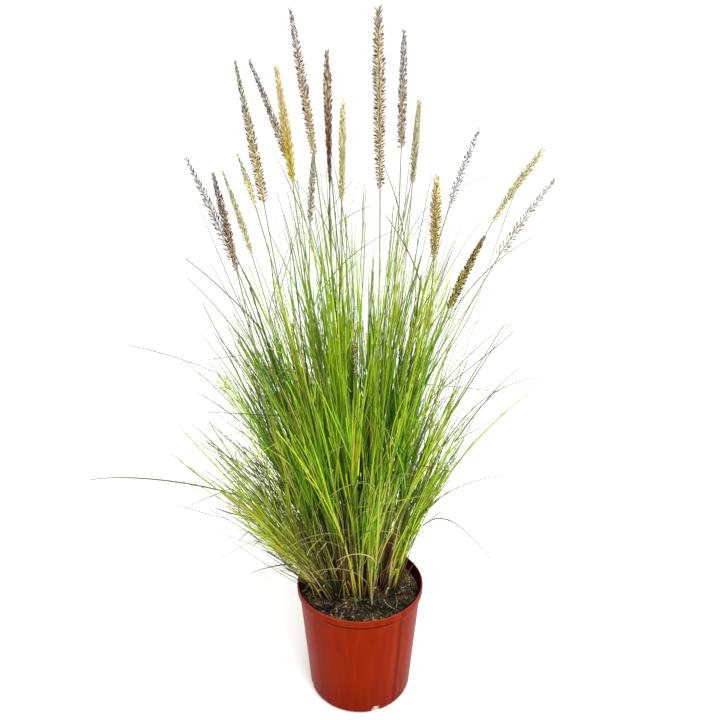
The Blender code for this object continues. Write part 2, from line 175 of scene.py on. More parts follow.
# The section runs from the middle of the inside up the wall and over the rolled lip, into the groove
# under it, and down the outside to the middle of the underside.
lip_bottom = POT_HEIGHT - LIP_HEIGHT
inner_lip = RIM_RADIUS - LIP_THICKNESS
pot_section = [(0.0, POT_WALL), (BOTTOM_FLAT, POT_WALL)]
inner_corner = (FOOT_RADIUS - POT_WALL - INNER_CORNER, POT_WALL + INNER_CORNER)
rounded(pot_section, inner_corner, -90, 0, INNER_CORNER - 0.0002, 6)
for height in (*INSIDE_RINGS, lip_bottom - 0.004):
    pot_section.append((wall_radius(height) - POT_WALL, height))
pot_section.append((inner_lip - 0.0002, lip_bottom + 0.0020))
pot_section.append((inner_lip, lip_bottom + 0.0040))
rounded(pot_section, (RIM_RADIUS - LIP_THICKNESS / 2, POT_HEIGHT - LIP_ROUND), 180, 0, LIP_ROUND, 9)
pot_section.append((RIM_RADIUS + 0.0001, POT_HEIGHT - 0.0060))
rounded(pot_section, (RIM_RADIUS - 0.0012, lip_bottom + 0.0012), 0, -90, 0.0010, 5)
pot_section.append((SHOULDER_RADIUS - 0.0006, lip_bottom + 0.0002))
pot_section.append((SHOULDER_RADIUS - 0.0012, lip_bottom - 0.0003))
pot_section.append((SHOULDER_RADIUS - 0.0012, lip_bottom - 0.0012))
rounded(pot_section, (SHOULDER_RADIUS + 0.0002, lip_bottom - 0.0030), 110, -60, 0.0013, 7)
for height in OUTSIDE_RINGS:
    pot_section.append((wall_radius(height), height))
rounded(pot_section, (FOOT_RADIUS - CORNER, CORNER), 0, -90, CORNER, 8)
pot_section.append((BOTTOM_FLAT, 0.0))
pot_section.append((0.0, 0.0))

pot = spun("nursery_pot", pot_section, POT_STEPS)
for vertex in pot.data.vertices:
    x, y, z = vertex.co
    radius = math.hypot(x, y)
    if radius > 0.09 and 0.012 < z < lip_bottom - 0.004:
        azimuth = math.degrees(math.atan2(y, x))
        bowed = math.sin(math.radians(azimuth - SAG_AZIMUTH)) ** 2 * math.sin(math.pi * z / POT_HEIGHT)
        sag = WALL_SAG * bowed
        factor = 1 - sag / radius
        for start, end, share in MOULD_FLATS:
            away = azimuth - (start + end) / 2
            if abs(away) < (end - start) / 2:
                chord = math.cos(math.radians((end - start) / 2)) / math.cos(math.radians(away))
                factor *= 1 - share * (1 - chord)
        vertex.co.x *= factor
        vertex.co.y *= factor

for azimuth in DRAIN_AZIMUTHS:
    outward = Vector((math.cos(math.radians(azimuth)), math.sin(math.radians(azimuth)), 0))
    bpy.ops.mesh.primitive_cylinder_add(vertices=24, radius=DRAIN_RADIUS, depth=3 * CORNER,
                                        location=outward * FOOT_RADIUS + Vector((0, 0, DRAIN_HEIGHT)),
                                        rotation=outward.to_track_quat("Z", "Y").to_euler())
    drill = bpy.context.object
    cut = pot.modifiers.new("Drain hole", "BOOLEAN")
    cut.operation = "DIFFERENCE"
    cut.object = drill
    bpy.ops.object.select_all(action="DESELECT")
    bpy.context.view_layer.objects.active = pot
    pot.select_set(True)
    bpy.ops.object.modifier_apply(modifier=cut.name)
    bpy.data.objects.remove(drill)
bpy.ops.object.shade_smooth_by_angle(angle=math.radians(38))

# Painted shade on the inside of the wall and of the lip: how much, at each point.
inner_shade_layer = pot.data.attributes.new("InnerShade", "FLOAT", "POINT")
for vertex, inner_shade in zip(pot.data.vertices, inner_shade_layer.data):
    inner = inner_lip + 0.0009 if vertex.co.z > lip_bottom else wall_radius(vertex.co.z) - POT_WALL / 2
    inner_shade.value = float(vertex.co.xy.length < inner)

# Blow-moulded polyethylene: a soft gloss with a faint orange peel, a little duller in clouds, and two
# parting lines that run down. Light and shade are painted on: a painted highlight on the edge of the lip, a
# painted shadow under the lip with a painted highlight line below it, a painted highlight and a painted dark
# line at each parting line, and painted shade inside the wall.
plastic, tree, shader = new_material("Blow-moulded polyethylene, terracotta", 0.3, 1.15)
place = add_node(tree, "ShaderNodeTexCoord", output="Object")
axes = add_node(tree, "ShaderNodeSeparateXYZ", {0: place}).node.outputs
cloud = add_node(tree, "ShaderNodeTexNoise", {"Vector": place, "Scale": 1 / 0.055, "Detail": 1.0})
upright = add_node(tree, "ShaderNodeMapping", {"Vector": place, "Scale": (1 / 0.012, 1 / 0.012, 1 / 0.18)})
streak = add_node(tree, "ShaderNodeTexNoise", {"Vector": upright, "Scale": 1.0, "Detail": 1.0})
low = add_node(tree, "ShaderNodeMapRange", {"Value": axes["Z"], "From Min": 0.11, "From Max": 0.0})
body = add_node(tree, "ShaderNodeMix", {0: cloud, 6: "#761800", 7: "#821F03"}, data_type="RGBA")
deep = add_node(tree, "ShaderNodeMix", {0: low, 6: body, 7: "#701400"}, data_type="RGBA")
dusty = add_node(tree, "ShaderNodeMapRange", {"Value": streak, "From Min": 0.45, "From Max": 0.85,
                                              "To Max": 0.12})
skin = add_node(tree, "ShaderNodeMix", {0: dusty, 6: deep, 7: "#A04828"}, data_type="RGBA")
bearing = add_node(tree, "ShaderNodeMath", {0: axes["Y"], 1: axes["X"]}, operation="ARCTAN2")
aside = add_node(tree, "ShaderNodeMath", {0: bearing, 1: -math.radians(SEAM_AZIMUTH)}, operation="ADD")
across = add_node(tree, "ShaderNodeMath", {0: aside, 1: math.pi / 2, 2: -math.pi / 2}, operation="WRAP")
spot = add_node(tree, "ShaderNodeMapRange", {"Value": across, "From Min": -math.pi / 2,
                                             "From Max": math.pi / 2})
level = add_node(tree, "ShaderNodeMapRange", {"Value": axes["Z"], "From Min": lip_bottom - 0.014,
                                              "From Max": POT_HEIGHT})
ramps = []
for value, stops in ((spot, ROUND_THE_SEAM), (level, UP_THE_LIP)):
    ramps.append(add_node(tree, "ShaderNodeValToRGB", {0: value}))
    elements = ramps[-1].node.color_ramp.elements
    while len(elements) < len(stops):
        elements.new(1.0)
    for element, (position, grey) in zip(elements, stops):
        element.position = position
        element.color = (grey, grey, grey, 1.0)
# The painted highlights and shadows of both ramps, which scale the skin's colour.
painted_marks = add_node(tree, "ShaderNodeMath", {0: ramps[0], 1: ramps[1]}, operation="MULTIPLY")
strength = add_node(tree, "ShaderNodeMath", {0: painted_marks, 1: 4.0}, operation="MULTIPLY")
shade = add_node(tree, "ShaderNodeVectorMath", {0: skin, "Scale": strength}, operation="SCALE")
# A painted highlight along the top edge of the lip.
edge = add_node(tree, "ShaderNodeMapRange", {"Value": axes["Z"], "From Min": POT_HEIGHT - 0.0016,
                                             "From Max": POT_HEIGHT - 0.0002, "To Max": 0.30})
lip_highlighted = add_node(tree, "ShaderNodeMix", {0: edge, 6: shade, 7: "#A85A44"}, data_type="RGBA")
# Painted shade darkens the inside of the wall.
inner_shade = add_node(tree, "ShaderNodeAttribute", output="Fac", attribute_name="InnerShade")
inner_shade_share = add_node(tree, "ShaderNodeMapRange", {"Value": inner_shade, "To Max": 0.90})
shaded_skin = add_node(tree, "ShaderNodeMix", {0: inner_shade_share, 6: lip_highlighted, 7: "#2C0A06"}, data_type="RGBA")
tree.links.new(shaded_skin, shader.inputs["Base Color"])
gloss = add_node(tree, "ShaderNodeMapRange", {"Value": cloud, "From Min": 0.1, "From Max": 0.9,
                                              "To Min": 0.28, "To Max": 0.38})
tree.links.new(gloss, shader.inputs["Roughness"])
peel = add_node(tree, "ShaderNodeTexNoise", {"Vector": place, "Scale": 1 / 0.0035, "Detail": 2.0})
bump = add_node(tree, "ShaderNodeBump", {"Height": peel, "Strength": 0.06, "Distance": 0.0004})
tree.links.new(bump, shader.inputs["Normal"])
shader.inputs["Specular IOR Level"].default_value = 0.22
shader.inputs["Specular Tint"].default_value = (1.0, 0.12, 0.03, 1.0)
pot.data.materials.append(plastic)
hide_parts("pot")
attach(pot, "root")


# ---- The potting soil --------------------------------------------------------------------------
# A peat and bark mix that fills the pot to a little below its lip: an uneven surface covered with
# crumbs, bark chips and white perlite grains. The surface is spun and pushed about by noise; each
# kind of grain is modelled once and copied.

SOIL_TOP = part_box("potting_soil")[1].z
SOIL_RADIUS = 0.1228
SOIL_RINGS = 34
SOIL_STEPS = 180
PERLITE_GRAINS = 60
PERLITE_SIZES = (0.0007, 0.0016)
# Where roots have grown out of the drain holes, a knot of pale roots and perlite shows in them: how many
# bits a full knot has, and how full each hole's is.
ROOT_KNOT = 70
ROOT_SIZES = (0.0008, 0.0021)
KNOT_SHARES = (0.1, 1.0, 0.4, 0.2)
rng = np.random.default_rng(7)


def shape_of(made):
    """The points and polygons of a modelled object, which is then removed: a pattern to copy."""
    points = np.array([v.co for v in made.data.vertices])
    polygons = [tuple(p.vertices) for p in made.data.polygons]
    bpy.data.objects.remove(made)
    return points, polygons


def joined(name, batches, finish):
    """One object from batches of copies: each has points per copy, polygons, and a colour per point."""
    points, tones, corners, sizes = [], [], [], []
    start = 0
    for places, polygons, colours in batches:
        copies, count = places.shape[:2]
        pattern = np.concatenate([np.array(p) for p in polygons])
        offsets = start + count * np.arange(copies)
        corners.append((offsets[:, None] + pattern).ravel())
        sizes.append(np.tile([len(p) for p in polygons], copies))
        points.append(places.reshape(-1, 3))
        tones.append(np.broadcast_to(colours, places.shape).reshape(-1, 3))
        start += copies * count
    points, tones = np.concatenate(points), np.concatenate(tones)
    corners, sizes = np.concatenate(corners), np.concatenate(sizes)
    mesh = bpy.data.meshes.new(name)
    mesh.vertices.add(len(points))
    mesh.vertices.foreach_set("co", points.ravel())
    mesh.loops.add(len(corners))
    mesh.loops.foreach_set("vertex_index", corners)
    mesh.polygons.add(len(sizes))
    mesh.polygons.foreach_set("loop_start", np.concatenate([[0], np.cumsum(sizes)[:-1]]))
    mesh.update(calc_edges=True)
    tone = mesh.color_attributes.new("Tone", "FLOAT_COLOR", "POINT")
    tone.data.foreach_set("color", np.hstack([tones, np.ones((len(tones), 1))]).ravel())
    mesh.materials.append(finish)
    mesh.shade_smooth()
    made = bpy.data.objects.new(name, mesh)
    bpy.context.scene.collection.objects.link(made)
    return made


def turns(count):
    """Random rotations, as matrices."""
    q = rng.normal(size=(count, 4))
    w, x, y, z = (q / np.linalg.norm(q, axis=1, keepdims=True)).T
    rows = [1 - 2 * (y * y + z * z), 2 * (x * y - w * z), 2 * (x * z + w * y),
            2 * (x * y + w * z), 1 - 2 * (x * x + z * z), 2 * (y * z - w * x),
            2 * (x * z - w * y), 2 * (y * z + w * x), 1 - 2 * (x * x + y * y)]
    return np.stack(rows, axis=1).reshape(-1, 3, 3)


def scattered(pattern, places, sizes, rotations):
    """Copies of a pattern at places, each with its own size along its own axes and its own turn."""
    points, polygons = pattern
    scaled = points[None] * sizes[:, None, :]
    return np.einsum("nij,nmj->nmi", rotations, scaled) + places[:, None], polygons


def soil_height(x, y):
    """How high the soil stands at a place: lumps, hollows by the wall, and a low mound in the clump."""
    radius = math.hypot(x, y)
    lumps = (noise.noise(Vector((x, y, 0.3)) / 0.030) * 0.0034
             + noise.noise(Vector((x, y, 1.7)) / 0.011) * 0.0022)
    fine = noise.noise(Vector((x, y, 4.1)) / 0.0042) * 0.0011
    mound = 0.0030 * math.exp(-((x + 0.012) ** 2 + (y - 0.028) ** 2) / 0.07**2)
    edge = -0.0030 * max(0.0, (radius - 0.095) / 0.028) ** 2
    return SOIL_TOP - 0.0032 + lumps + fine + mound + edge


def on_soil(spots, sunk=0.0):
    """Places on the soil at spots across it, or sunk so deep in it."""
    return np.column_stack([spots, [soil_height(x, y) - sunk for x, y in spots]])


def soil_places(count):
    """Places scattered over the soil's surface."""
    radius = (SOIL_RADIUS - 0.001) * np.sqrt(rng.uniform(0, 1, count))
    azimuth = rng.uniform(0, math.tau, count)
    return on_soil(np.column_stack([radius * np.cos(azimuth), radius * np.sin(azimuth)]))


def mixed(codes, weights, count):
    """Random picks from a palette of hex codes, each a little lighter or darker."""
    palette = np.array([srgb(code) for code in codes])
    picks = rng.choice(len(codes), count, p=np.array(weights) / sum(weights))
    return palette[picks] * rng.uniform(0.75, 1.25, (count, 1))


def patchy(places):
    """How light the mix is at places: darker and lighter patches that follow two noises."""
    level = [noise.noise(Vector((x, y, 9.0)) / 0.021) + 0.6 * noise.noise(Vector((x, y, 5.0)) / 0.008)
             for x, y, _ in places]
    return np.interp(level, (-0.42, -0.1, 0.10, 0.42), (0.14, 0.55, 1.45, 3.0))[:, None]


def toned_material(name, roughness, ior, specular, grain_size, detail, low, high):
    """A material with each point's own tone, darker and lighter in a grain so wide; and its grain."""
    made, tree, shader = new_material(name, roughness, ior)
    tone = add_node(tree, "ShaderNodeAttribute", output="Color", attribute_name="Tone")
    place = add_node(tree, "ShaderNodeTexCoord", output="Object")
    grain = add_node(tree, "ShaderNodeTexNoise", {"Vector": place, "Scale": 1 / grain_size, "Detail": detail})
    shade = add_node(tree, "ShaderNodeMapRange", {"Value": grain, "To Min": low, "To Max": high})
    colour = add_node(tree, "ShaderNodeMix", {0: 1.0, 6: tone, 7: shade}, data_type="RGBA",
                      blend_type="MULTIPLY")
    tree.links.new(colour, shader.inputs["Base Color"])
    shader.inputs["Specular IOR Level"].default_value = specular
    return made, tree, shader, grain


soil_section = [(0.0, SOIL_TOP)]
for i in range(1, SOIL_RINGS + 1):
    soil_section.append((SOIL_RADIUS * i / SOIL_RINGS, SOIL_TOP))
soil_section += [(wall_radius(0.215) - 0.0026, 0.215), (wall_radius(0.11) - 0.0026, 0.11),
                 (FOOT_RADIUS - 0.0032, 0.011), (FOOT_RADIUS - 0.0105, 0.0032), (0.0, 0.0032)]
ground = spun("soil_ground", soil_section, SOIL_STEPS)
for vertex in ground.data.vertices:
    if vertex.co.z > SOIL_TOP - 0.001:
        vertex.co.z = soil_height(vertex.co.x, vertex.co.y)
ground_points, ground_polygons = shape_of(ground)
ground_tones = mixed(["#221A12", "#14100C", "#32261A"], [5, 3, 2], len(ground_points))
ground_tones = ground_tones * patchy(ground_points)

bpy.ops.mesh.primitive_ico_sphere_add(subdivisions=1, radius=1)
crumb = shape_of(bpy.context.object)
bpy.ops.mesh.primitive_cube_add(size=2)
bpy.ops.object.mode_set(mode="EDIT")
bpy.ops.mesh.bevel(offset=0.35, segments=1)
bpy.ops.object.mode_set(mode="OBJECT")
chip = shape_of(bpy.context.object)

# What lies loose on the surface, per kind: its pattern and how many, sizes from and to, how uneven the copies
# are, their proportions, and their colours with shares.
LOOSE_KINDS = (
    (crumb, 4600, (0.0007, 0.0021), (0.5, 1.0), (1.0, 1.0, 1.0),
     ["#2E2014", "#4A3620", "#6A5030", "#8C7048", "#120E0A", "#3A3C1A", "#9C8658"],
     [6, 5, 3, 1.4, 5, 3.0, 0.8]),
    (chip, 520, (0.0016, 0.0042), (0.7, 1.2), (1.0, 0.6, 0.22),
     ["#38261A", "#5E442A", "#8A6A42", "#1A120C"], [4, 3, 1.2, 4]),
)
loose = []
for pattern, count, from_to, uneven, proportions, codes, weights in LOOSE_KINDS:
    places = soil_places(count)
    sizes = rng.uniform(*from_to, (count, 1)) * np.array(proportions) * rng.uniform(*uneven, (count, 3))
    tones = mixed(codes, weights, count) * patchy(places)
    loose.append((*scattered(pattern, places, sizes, turns(count)), tones[:, None]))
places = soil_places(PERLITE_GRAINS)
sizes = rng.uniform(*PERLITE_SIZES, (PERLITE_GRAINS, 1)) * rng.uniform(0.7, 1.0, (PERLITE_GRAINS, 3))
loose.append((*scattered(crumb, places, sizes, turns(PERLITE_GRAINS)),
              mixed(["#D9D4C4", "#B9AF98"], [2, 3], PERLITE_GRAINS)[:, None]))

for azimuth, share in zip(DRAIN_AZIMUTHS, KNOT_SHARES):
    count = int(ROOT_KNOT * share)
    angle = np.radians(azimuth) + rng.normal(0, 0.045, count)
    radius = FOOT_RADIUS - 0.0028 + rng.uniform(-0.002, 0.0014, count)
    height = rng.uniform(0.0045, 0.0125, count)
    places = np.column_stack([radius * np.cos(angle), radius * np.sin(angle), height])
    sizes = rng.uniform(*ROOT_SIZES, (count, 1)) * rng.uniform(0.5, 1.0, (count, 3))
    loose.append((*scattered(crumb, places, sizes, turns(count)),
                  mixed(["#D8C39A", "#EFE6D2", "#A9814E", "#6B4A2C"], [4, 3, 2, 1], count)[:, None]))

# Damp peat and bark: dull and dark, its colour carried by each grain, and rough at the grain's scale.
mix, tree, shader, speck = toned_material("Peat and bark potting mix", 0.92, 1.45, specular=0.25,
                                          grain_size=0.0016, detail=3.0, low=0.25, high=1.7)
bump = add_node(tree, "ShaderNodeBump", {"Height": speck, "Strength": 0.7, "Distance": 0.0008})
tree.links.new(bump, shader.inputs["Normal"])

surface = (ground_points[None], ground_polygons, ground_tones[None])
soil = joined("potting_soil_surface", [surface, *loose], mix)
soil.data.shade_flat()
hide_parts("potting_soil")
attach(soil, "root")


# ---- Leaf tufts --------------------------------------------------------------------------------
# Narrow grass leaves, 2 to 4 mm wide and folded along a keel, that grow out of short flattened
# sheaths. Each tuft stands where its solid stands; its shoots and leaves are copies of one closed
# strand, modelled straight, laid along arcs that lean further and further towards their tips.

SHOOTS_PER_TUFT = 12
BLADES_PER_SHOOT = 4
SIDES_PER_SHOOT = 5
DRY_PER_TUFT = 12
STUBS_PER_TUFT = 3
THATCH_PER_TUFT = 36
# The whole clump leans so many degrees to the left.
CLUMP_TILT = 6.5
LEAF_RINGS = 15
SHOOT_RINGS = 14
SHEATH_RINGS = 5
CLUMP_CENTRE = np.array([-0.012, 0.028])
# Sizes from and to: the shoots' girth at the foot, then lengths and widths of each kind of strand. Blades
# lie close along a shoot, and side leaves stand out from it.
FOOT_GIRTHS = (0.0046, 0.0074)
STUB_LENGTHS = (0.02, 0.08)
THATCH_LENGTHS, THATCH_WIDTHS = (0.03, 0.15), (0.0020, 0.0040)
BLADE_LENGTHS, BLADE_WIDTHS = (0.28, 0.52), (0.0027, 0.0042)
SIDE_LENGTHS, SIDE_WIDTHS = (0.14, 0.40), (0.0017, 0.0029)
DRY_LENGTHS, DRY_WIDTHS = (0.10, 0.30), (0.0010, 0.0022)
LEAF_FOLD = 0.35
# The rings of tufts: how many, lean at foot and tip, reach from foot to leaf tip.
TUFT_RINGS = ((7, 21.0, 56.0, 0.62), (7, 12.0, 29.0, 0.78), (4, 4.0, 12.0, 0.85))
# How far up its tuft a long single leaf leaves its sheath.
SHEATH_LENGTH = 0.135
# Long single leaves, by tuft: the place of the tip, the lean there, how far the leaf bows on its way as a
# share of its length, and its width in mm.
LONG_LEAVES = {
    1: ((-0.500, -0.080, 0.530), 94.0, 0.22, 4.2),
    2: ((-0.310, -0.230, 0.410), 105.0, 0.40, 2.2),
    3: ((-0.030, -0.400, 0.520), 100.0, 0.40, 2.2),
    4: ((0.250, -0.280, 0.430), 118.0, 0.40, 2.2),
    5: ((0.385, -0.020, 0.720), 80.0, 0.40, 2.2),
    6: ((0.300, 0.330, 0.560), 92.0, 0.40, 2.2),
    7: ((-0.090, 0.430, 0.600), 88.0, 0.40, 2.2),
    8: ((-0.425, 0.010, 0.770), 70.0, 0.40, 2.2),
    9: ((-0.200, -0.300, 0.800), 55.0, 0.40, 2.2),
    12: ((0.350, 0.050, 0.850), 48.0, 0.40, 2.2),
    14: ((-0.315, 0.150, 0.955), 42.0, 0.40, 2.2),
}
# The dense mass of leaves: its radius round the clump's centre at some heights, and how much of
# that lies further out on the left than on the right.
MASS_HEIGHTS = (0.25, 0.30, 0.36, 0.50, 0.60, 0.72, 0.85, 0.91, 0.98, 1.05)
MASS_RADII = (0.115, 0.145, 0.174, 0.210, 0.226, 0.212, 0.172, 0.144, 0.122, 0.080)
MASS_TO_LEFT = (0.012, 0.022, 0.030, 0.018, 0.044, 0.002, -0.006, 0.010, 0.014, 0.012)
# How high the mass reaches, and the notch in its top: how deep it is, where it is along X, and how wide.
MASS_TOP = 1.08
NOTCH_DEPTH, NOTCH_AT, NOTCH_WIDTH = 0.20, 0.026, 0.030
# The darkest shoot and side-leaf greens are painted shade, for leaves in shade, picked at random.
SHOOT_GREENS = ["#C2E00C", "#A8D608", "#8CC40A", "#C6CC26", "#62980E", "#32600A"]
SHOOT_WEIGHTS = [3.5, 4.5, 3.5, 1.2, 1.5, 1.5]
SIDE_GREENS = ["#9CC01C", "#6C9C16", "#2E7C10", "#184C08", "#92902C", "#C8DC14"]
SIDE_WEIGHTS = [3.0, 3.0, 3.6, 3.2, 0.9, 2.5]
SKIRT_GREENS = ["#B8C820", "#A0BE1A", "#7C9E14", "#C0AA48", "#64501F", "#AACA14", "#324408"]
SKIRT_WEIGHTS = [2.5, 3.5, 3.0, 1.0, 1.5, 2.5, 3.5]
FOOT_TONES = ["#D8C040", "#F0DC50", "#EAD490", "#B8683C", "#5E3A28", "#D89C70"]
FOOT_WEIGHTS = [3, 2.5, 2.5, 2.5, 2, 2.5]
THATCH_TONES = ["#3A281A", "#6A442C", "#5A6426", "#9C744C"]
SKIRT_THATCH_TONES = ["#2E2A12", "#56501E", "#46561A", "#8A7A3C"]
DEAD_TIP_TONES = ["#3E342C", "#544C3C", "#382F22", "#6C6630"]
LONG_LEAF_TONES = ("#84A030", "#5A6426", "#4A4A2C")
# The colour that old tips outside the mass turn to, the most that a channel of any leaf has, and what
# happens to red, green and blue as painted light and shade: by how much they change deep inside the mass,
# where the light comes through other leaves, by how much in the painted sunlight of the open air above it,
# and what share is left at the very top.
OLD_TIP = "#524A3E"
BRIGHTEST = 0.58
FILTERED = (-0.34, 0.10, -0.40)
SUNLIT_TINT = (0.16, 0.06, -0.45)
ALOFT = (0.62, 0.52, 0.66)


def strand(sides, rings):
    """A straight closed strand from Z = 0 to 1, one across from its axis, with evenly spaced rings."""
    bpy.ops.mesh.primitive_cylinder_add(vertices=sides, radius=1, depth=1, location=(0, 0, 0.5))
    made = bpy.context.object
    bpy.ops.object.transform_apply(location=True)
    bpy.ops.object.mode_set(mode="EDIT")
    bpy.ops.mesh.select_all(action="DESELECT")
    shape = bmesh.from_edit_mesh(made.data)
    for edge in shape.edges:
        edge.select_set(abs(edge.verts[0].co.z - edge.verts[1].co.z) > 0.5)
    bmesh.update_edit_mesh(made.data)
    bpy.ops.mesh.subdivide(number_cuts=rings - 2)
    bpy.ops.object.mode_set(mode="OBJECT")
    return shape_of(made)


def unit(vectors):
    """The vectors, each brought to a length of one."""
    return vectors / np.linalg.norm(vectors, axis=-1, keepdims=True)


def laid(pattern, paths, across, widths, thicknesses, fold=0.0):
    """Copies of a strand bent along paths; across gives each path's width direction at each ring."""
    points, polygons = pattern
    rings = paths.shape[1]
    ring = np.rint(points[:, 2] * (rings - 1)).astype(int)
    along = unit(np.gradient(paths, axis=1))
    across = unit(across - along * np.sum(across * along, axis=-1, keepdims=True))
    through = np.cross(across, along)
    half = widths[:, ring, None] / 2
    sideways = across[:, ring] * points[:, 0, None] * half
    upwards = through[:, ring] * (points[:, 1, None] * thicknesses[:, ring, None] / 2
                                  + np.abs(points[:, 0, None]) * half * fold)
    return paths[:, ring] + sideways + upwards, polygons


def heading(lean, azimuth):
    """Directions that lean so many degrees from vertical towards an azimuth."""
    lean, azimuth = np.radians(lean), np.radians(azimuth)
    return np.stack([np.sin(lean) * np.cos(azimuth), np.sin(lean) * np.sin(azimuth), np.cos(lean)], axis=-1)


def azimuth_of(vectors):
    """The azimuths of vectors, in degrees."""
    return np.degrees(np.arctan2(vectors[..., 1], vectors[..., 0]))


def arcs(starts, foot_lean, foot_azimuth, tip_lean, tip_azimuth, lengths, rings, kink_at=None, kink=None):
    """Centrelines that leave at one lean and azimuth and end at another; past a kink they lean more."""
    t = (np.arange(rings - 1) + 0.5) / (rings - 1)
    lean = foot_lean[:, None] + (tip_lean - foot_lean)[:, None] * t**1.15
    if kink_at is not None:
        lean = lean + kink[:, None] * (t > kink_at[:, None])
    azimuth = foot_azimuth[:, None] + (tip_azimuth - foot_azimuth)[:, None] * np.minimum(1.0, 2.5 * t)
    steps = heading(lean, azimuth) * (lengths / (rings - 1))[:, None, None]
    walked = np.concatenate([np.zeros((len(starts), 1, 3)), np.cumsum(steps, axis=1)], axis=1)
    return starts[:, None] + walked


def rolled(paths, azimuth, roll=0.0, twist=0.0):
    """The width direction along each path: level at first, then rolled and twisted about the path."""
    t = np.linspace(0, 1, paths.shape[1])
    roll, twist = np.reshape(roll, (-1, 1)), np.reshape(twist, (-1, 1))
    along = unit(np.gradient(paths, axis=1))
    level = heading(np.full(len(paths), 90.0), azimuth + 90.0)[:, None] + 0 * along
    level = unit(level - along * np.sum(level * along, axis=-1, keepdims=True))
    angle = np.radians(roll + twist * t)[..., None]
    return level * np.cos(angle) + np.cross(along, level) * np.sin(angle)


leaf = strand(4, LEAF_RINGS)
shoot = strand(6, SHOOT_RINGS)
sheath = strand(4, SHEATH_RINGS)
lift = np.linspace(0, 1, LEAF_RINGS)
leaf_outline = np.interp(lift, (0, 0.2, 0.45, 0.75, 1), (0.7, 1.0, 0.92, 0.64, 0.30))

# Fresh grass leaf: a waxy skin with a faint grain, the colour of each leaf along its length.
grass = toned_material("Fresh grass leaf", 0.48, 1.42, specular=0.15,
                       grain_size=0.006, detail=2.0, low=0.78, high=1.24)[0]


def along_tones(foot, middle, tip, rings, foot_share=0.16, tip_share=0.86):
    """Colours along strands, from the foot's through the middle's to the tip's: (copies, rings, 3)."""
    t = np.linspace(0, 1, rings)[None, :, None]
    low = np.clip(t / np.reshape(foot_share, (-1, 1, 1)), 0, 1) ** 1.6
    tip_share = np.reshape(tip_share, (-1, 1, 1))
    high = np.clip((t - tip_share) / (1 - tip_share), 0, 1)
    return (foot[:, None] * (1 - low) + middle[:, None] * low) * (1 - high) + tip[:, None] * high


def ring_tones(pattern, tones):
    """The colour of each point of each copy, from the colours at its rings."""
    ring = np.rint(pattern[0][:, 2] * (tones.shape[1] - 1)).astype(int)
    return tones[:, ring]


def inside_box(paths, margin):
    """Which paths stay inside the box of the solids and don't run through or over the pot's lip."""
    low, high = np.array(cad_box[0]) + margin, np.array(cad_box[1]) - margin
    lip = (np.hypot(paths[..., 0], paths[..., 1]) > RIM_RADIUS - 0.007) & (paths[..., 2] < POT_HEIGHT + 0.002)
    return np.all((paths > low) & (paths < high), axis=(1, 2)) & ~lip.any(axis=1)


def in_mass(places):
    """How far out places lie, how far out the dense mass reaches there, and how far they are to the front."""
    away = places[..., :2] - CLUMP_CENTRE
    radius = np.maximum(np.linalg.norm(away, axis=-1), 0.001)
    limit = np.interp(places[..., 2], MASS_HEIGHTS, MASS_RADII)
    limit = limit - away[..., 0] / radius * np.interp(places[..., 2], MASS_HEIGHTS, MASS_TO_LEFT)
    return radius, limit, -away[..., 1] / radius


def dimmed(placed, tones, greyed=0.0):
    """Colours as their places have them, with painted light and shade: greyer by a share where tips stand out
    of the mass, painted shade that is darker and greener deep in it, painted sunlight that is yellower in the
    open air above it, and duller at the very top."""
    radius, limit, to_front = in_mass(placed)
    to_front = np.maximum(0, to_front)
    outside = greyed * np.interp(radius / limit, (0.92, 1.18), (0.0, 1.0))
    outside = (outside * np.interp(placed[..., 2], (0.45, 0.70), (0.35, 1.0)))[..., None]
    tones = tones * (1 - outside) + np.array(srgb(OLD_TIP)) * outside
    # Painted shade deep in the mass, and painted light where it comes through other leaves and in the open
    # air.
    depth = radius / (limit * (1 - 0.35 * to_front))
    least_red = np.interp(depth, (0.60, 1.0), (0.10, 0.54)) * (1 - 0.8 * to_front) * tones[..., 1]
    tones = np.concatenate([np.maximum(tones[..., :1], least_red[..., None]), tones[..., 1:]], axis=-1)
    filtered = np.interp(depth, (0.35, 0.95), (1.0, 0.0))
    filtered = filtered * np.interp(placed[..., 2], (0.34, 0.44, 0.60, 0.76), (0.0, 1.0, 1.0, 0.0))
    tones = tones * (1 + filtered[..., None] * np.array(FILTERED))
    light = np.interp(depth, (0.25, 0.70, 1.0), (0.36, 0.88, 1.26))
    light = light * np.interp(placed[..., 2], (0.28, 0.42), (1.55, 1.0))
    open_air = np.interp(placed[..., 2], (0.50, 0.85), (0.0, 0.75))
    tones = tones * (light * (1 - open_air) + 1.20 * open_air)[..., None]
    tones = tones * (1 + open_air[..., None] * np.array(SUNLIT_TINT))
    tones = tones * np.minimum(1.0, BRIGHTEST / tones.max(axis=-1, keepdims=True))
    aloft = np.interp(placed[..., 2], (0.88, 1.00), (0.0, 1.0))[..., None]
    return tones * (1 - aloft * (1 - np.array(ALOFT)))


def share_in_mass(paths, stretch):
    """The share of each path up to where it leaves the dense mass, stretched by a factor each."""
    radius, limit, _ = in_mass(paths)
    top = MASS_TOP - NOTCH_DEPTH * np.exp(-((paths[..., 0] - NOTCH_AT) / NOTCH_WIDTH) ** 2)
    beyond = (radius > limit * stretch[:, None]) | (paths[..., 2] > top * np.minimum(stretch, 1.06)[:, None])
    first = np.where(beyond.any(axis=1), beyond.argmax(axis=1), paths.shape[1] - 1)
    return np.maximum(first, 3) / (paths.shape[1] - 1)


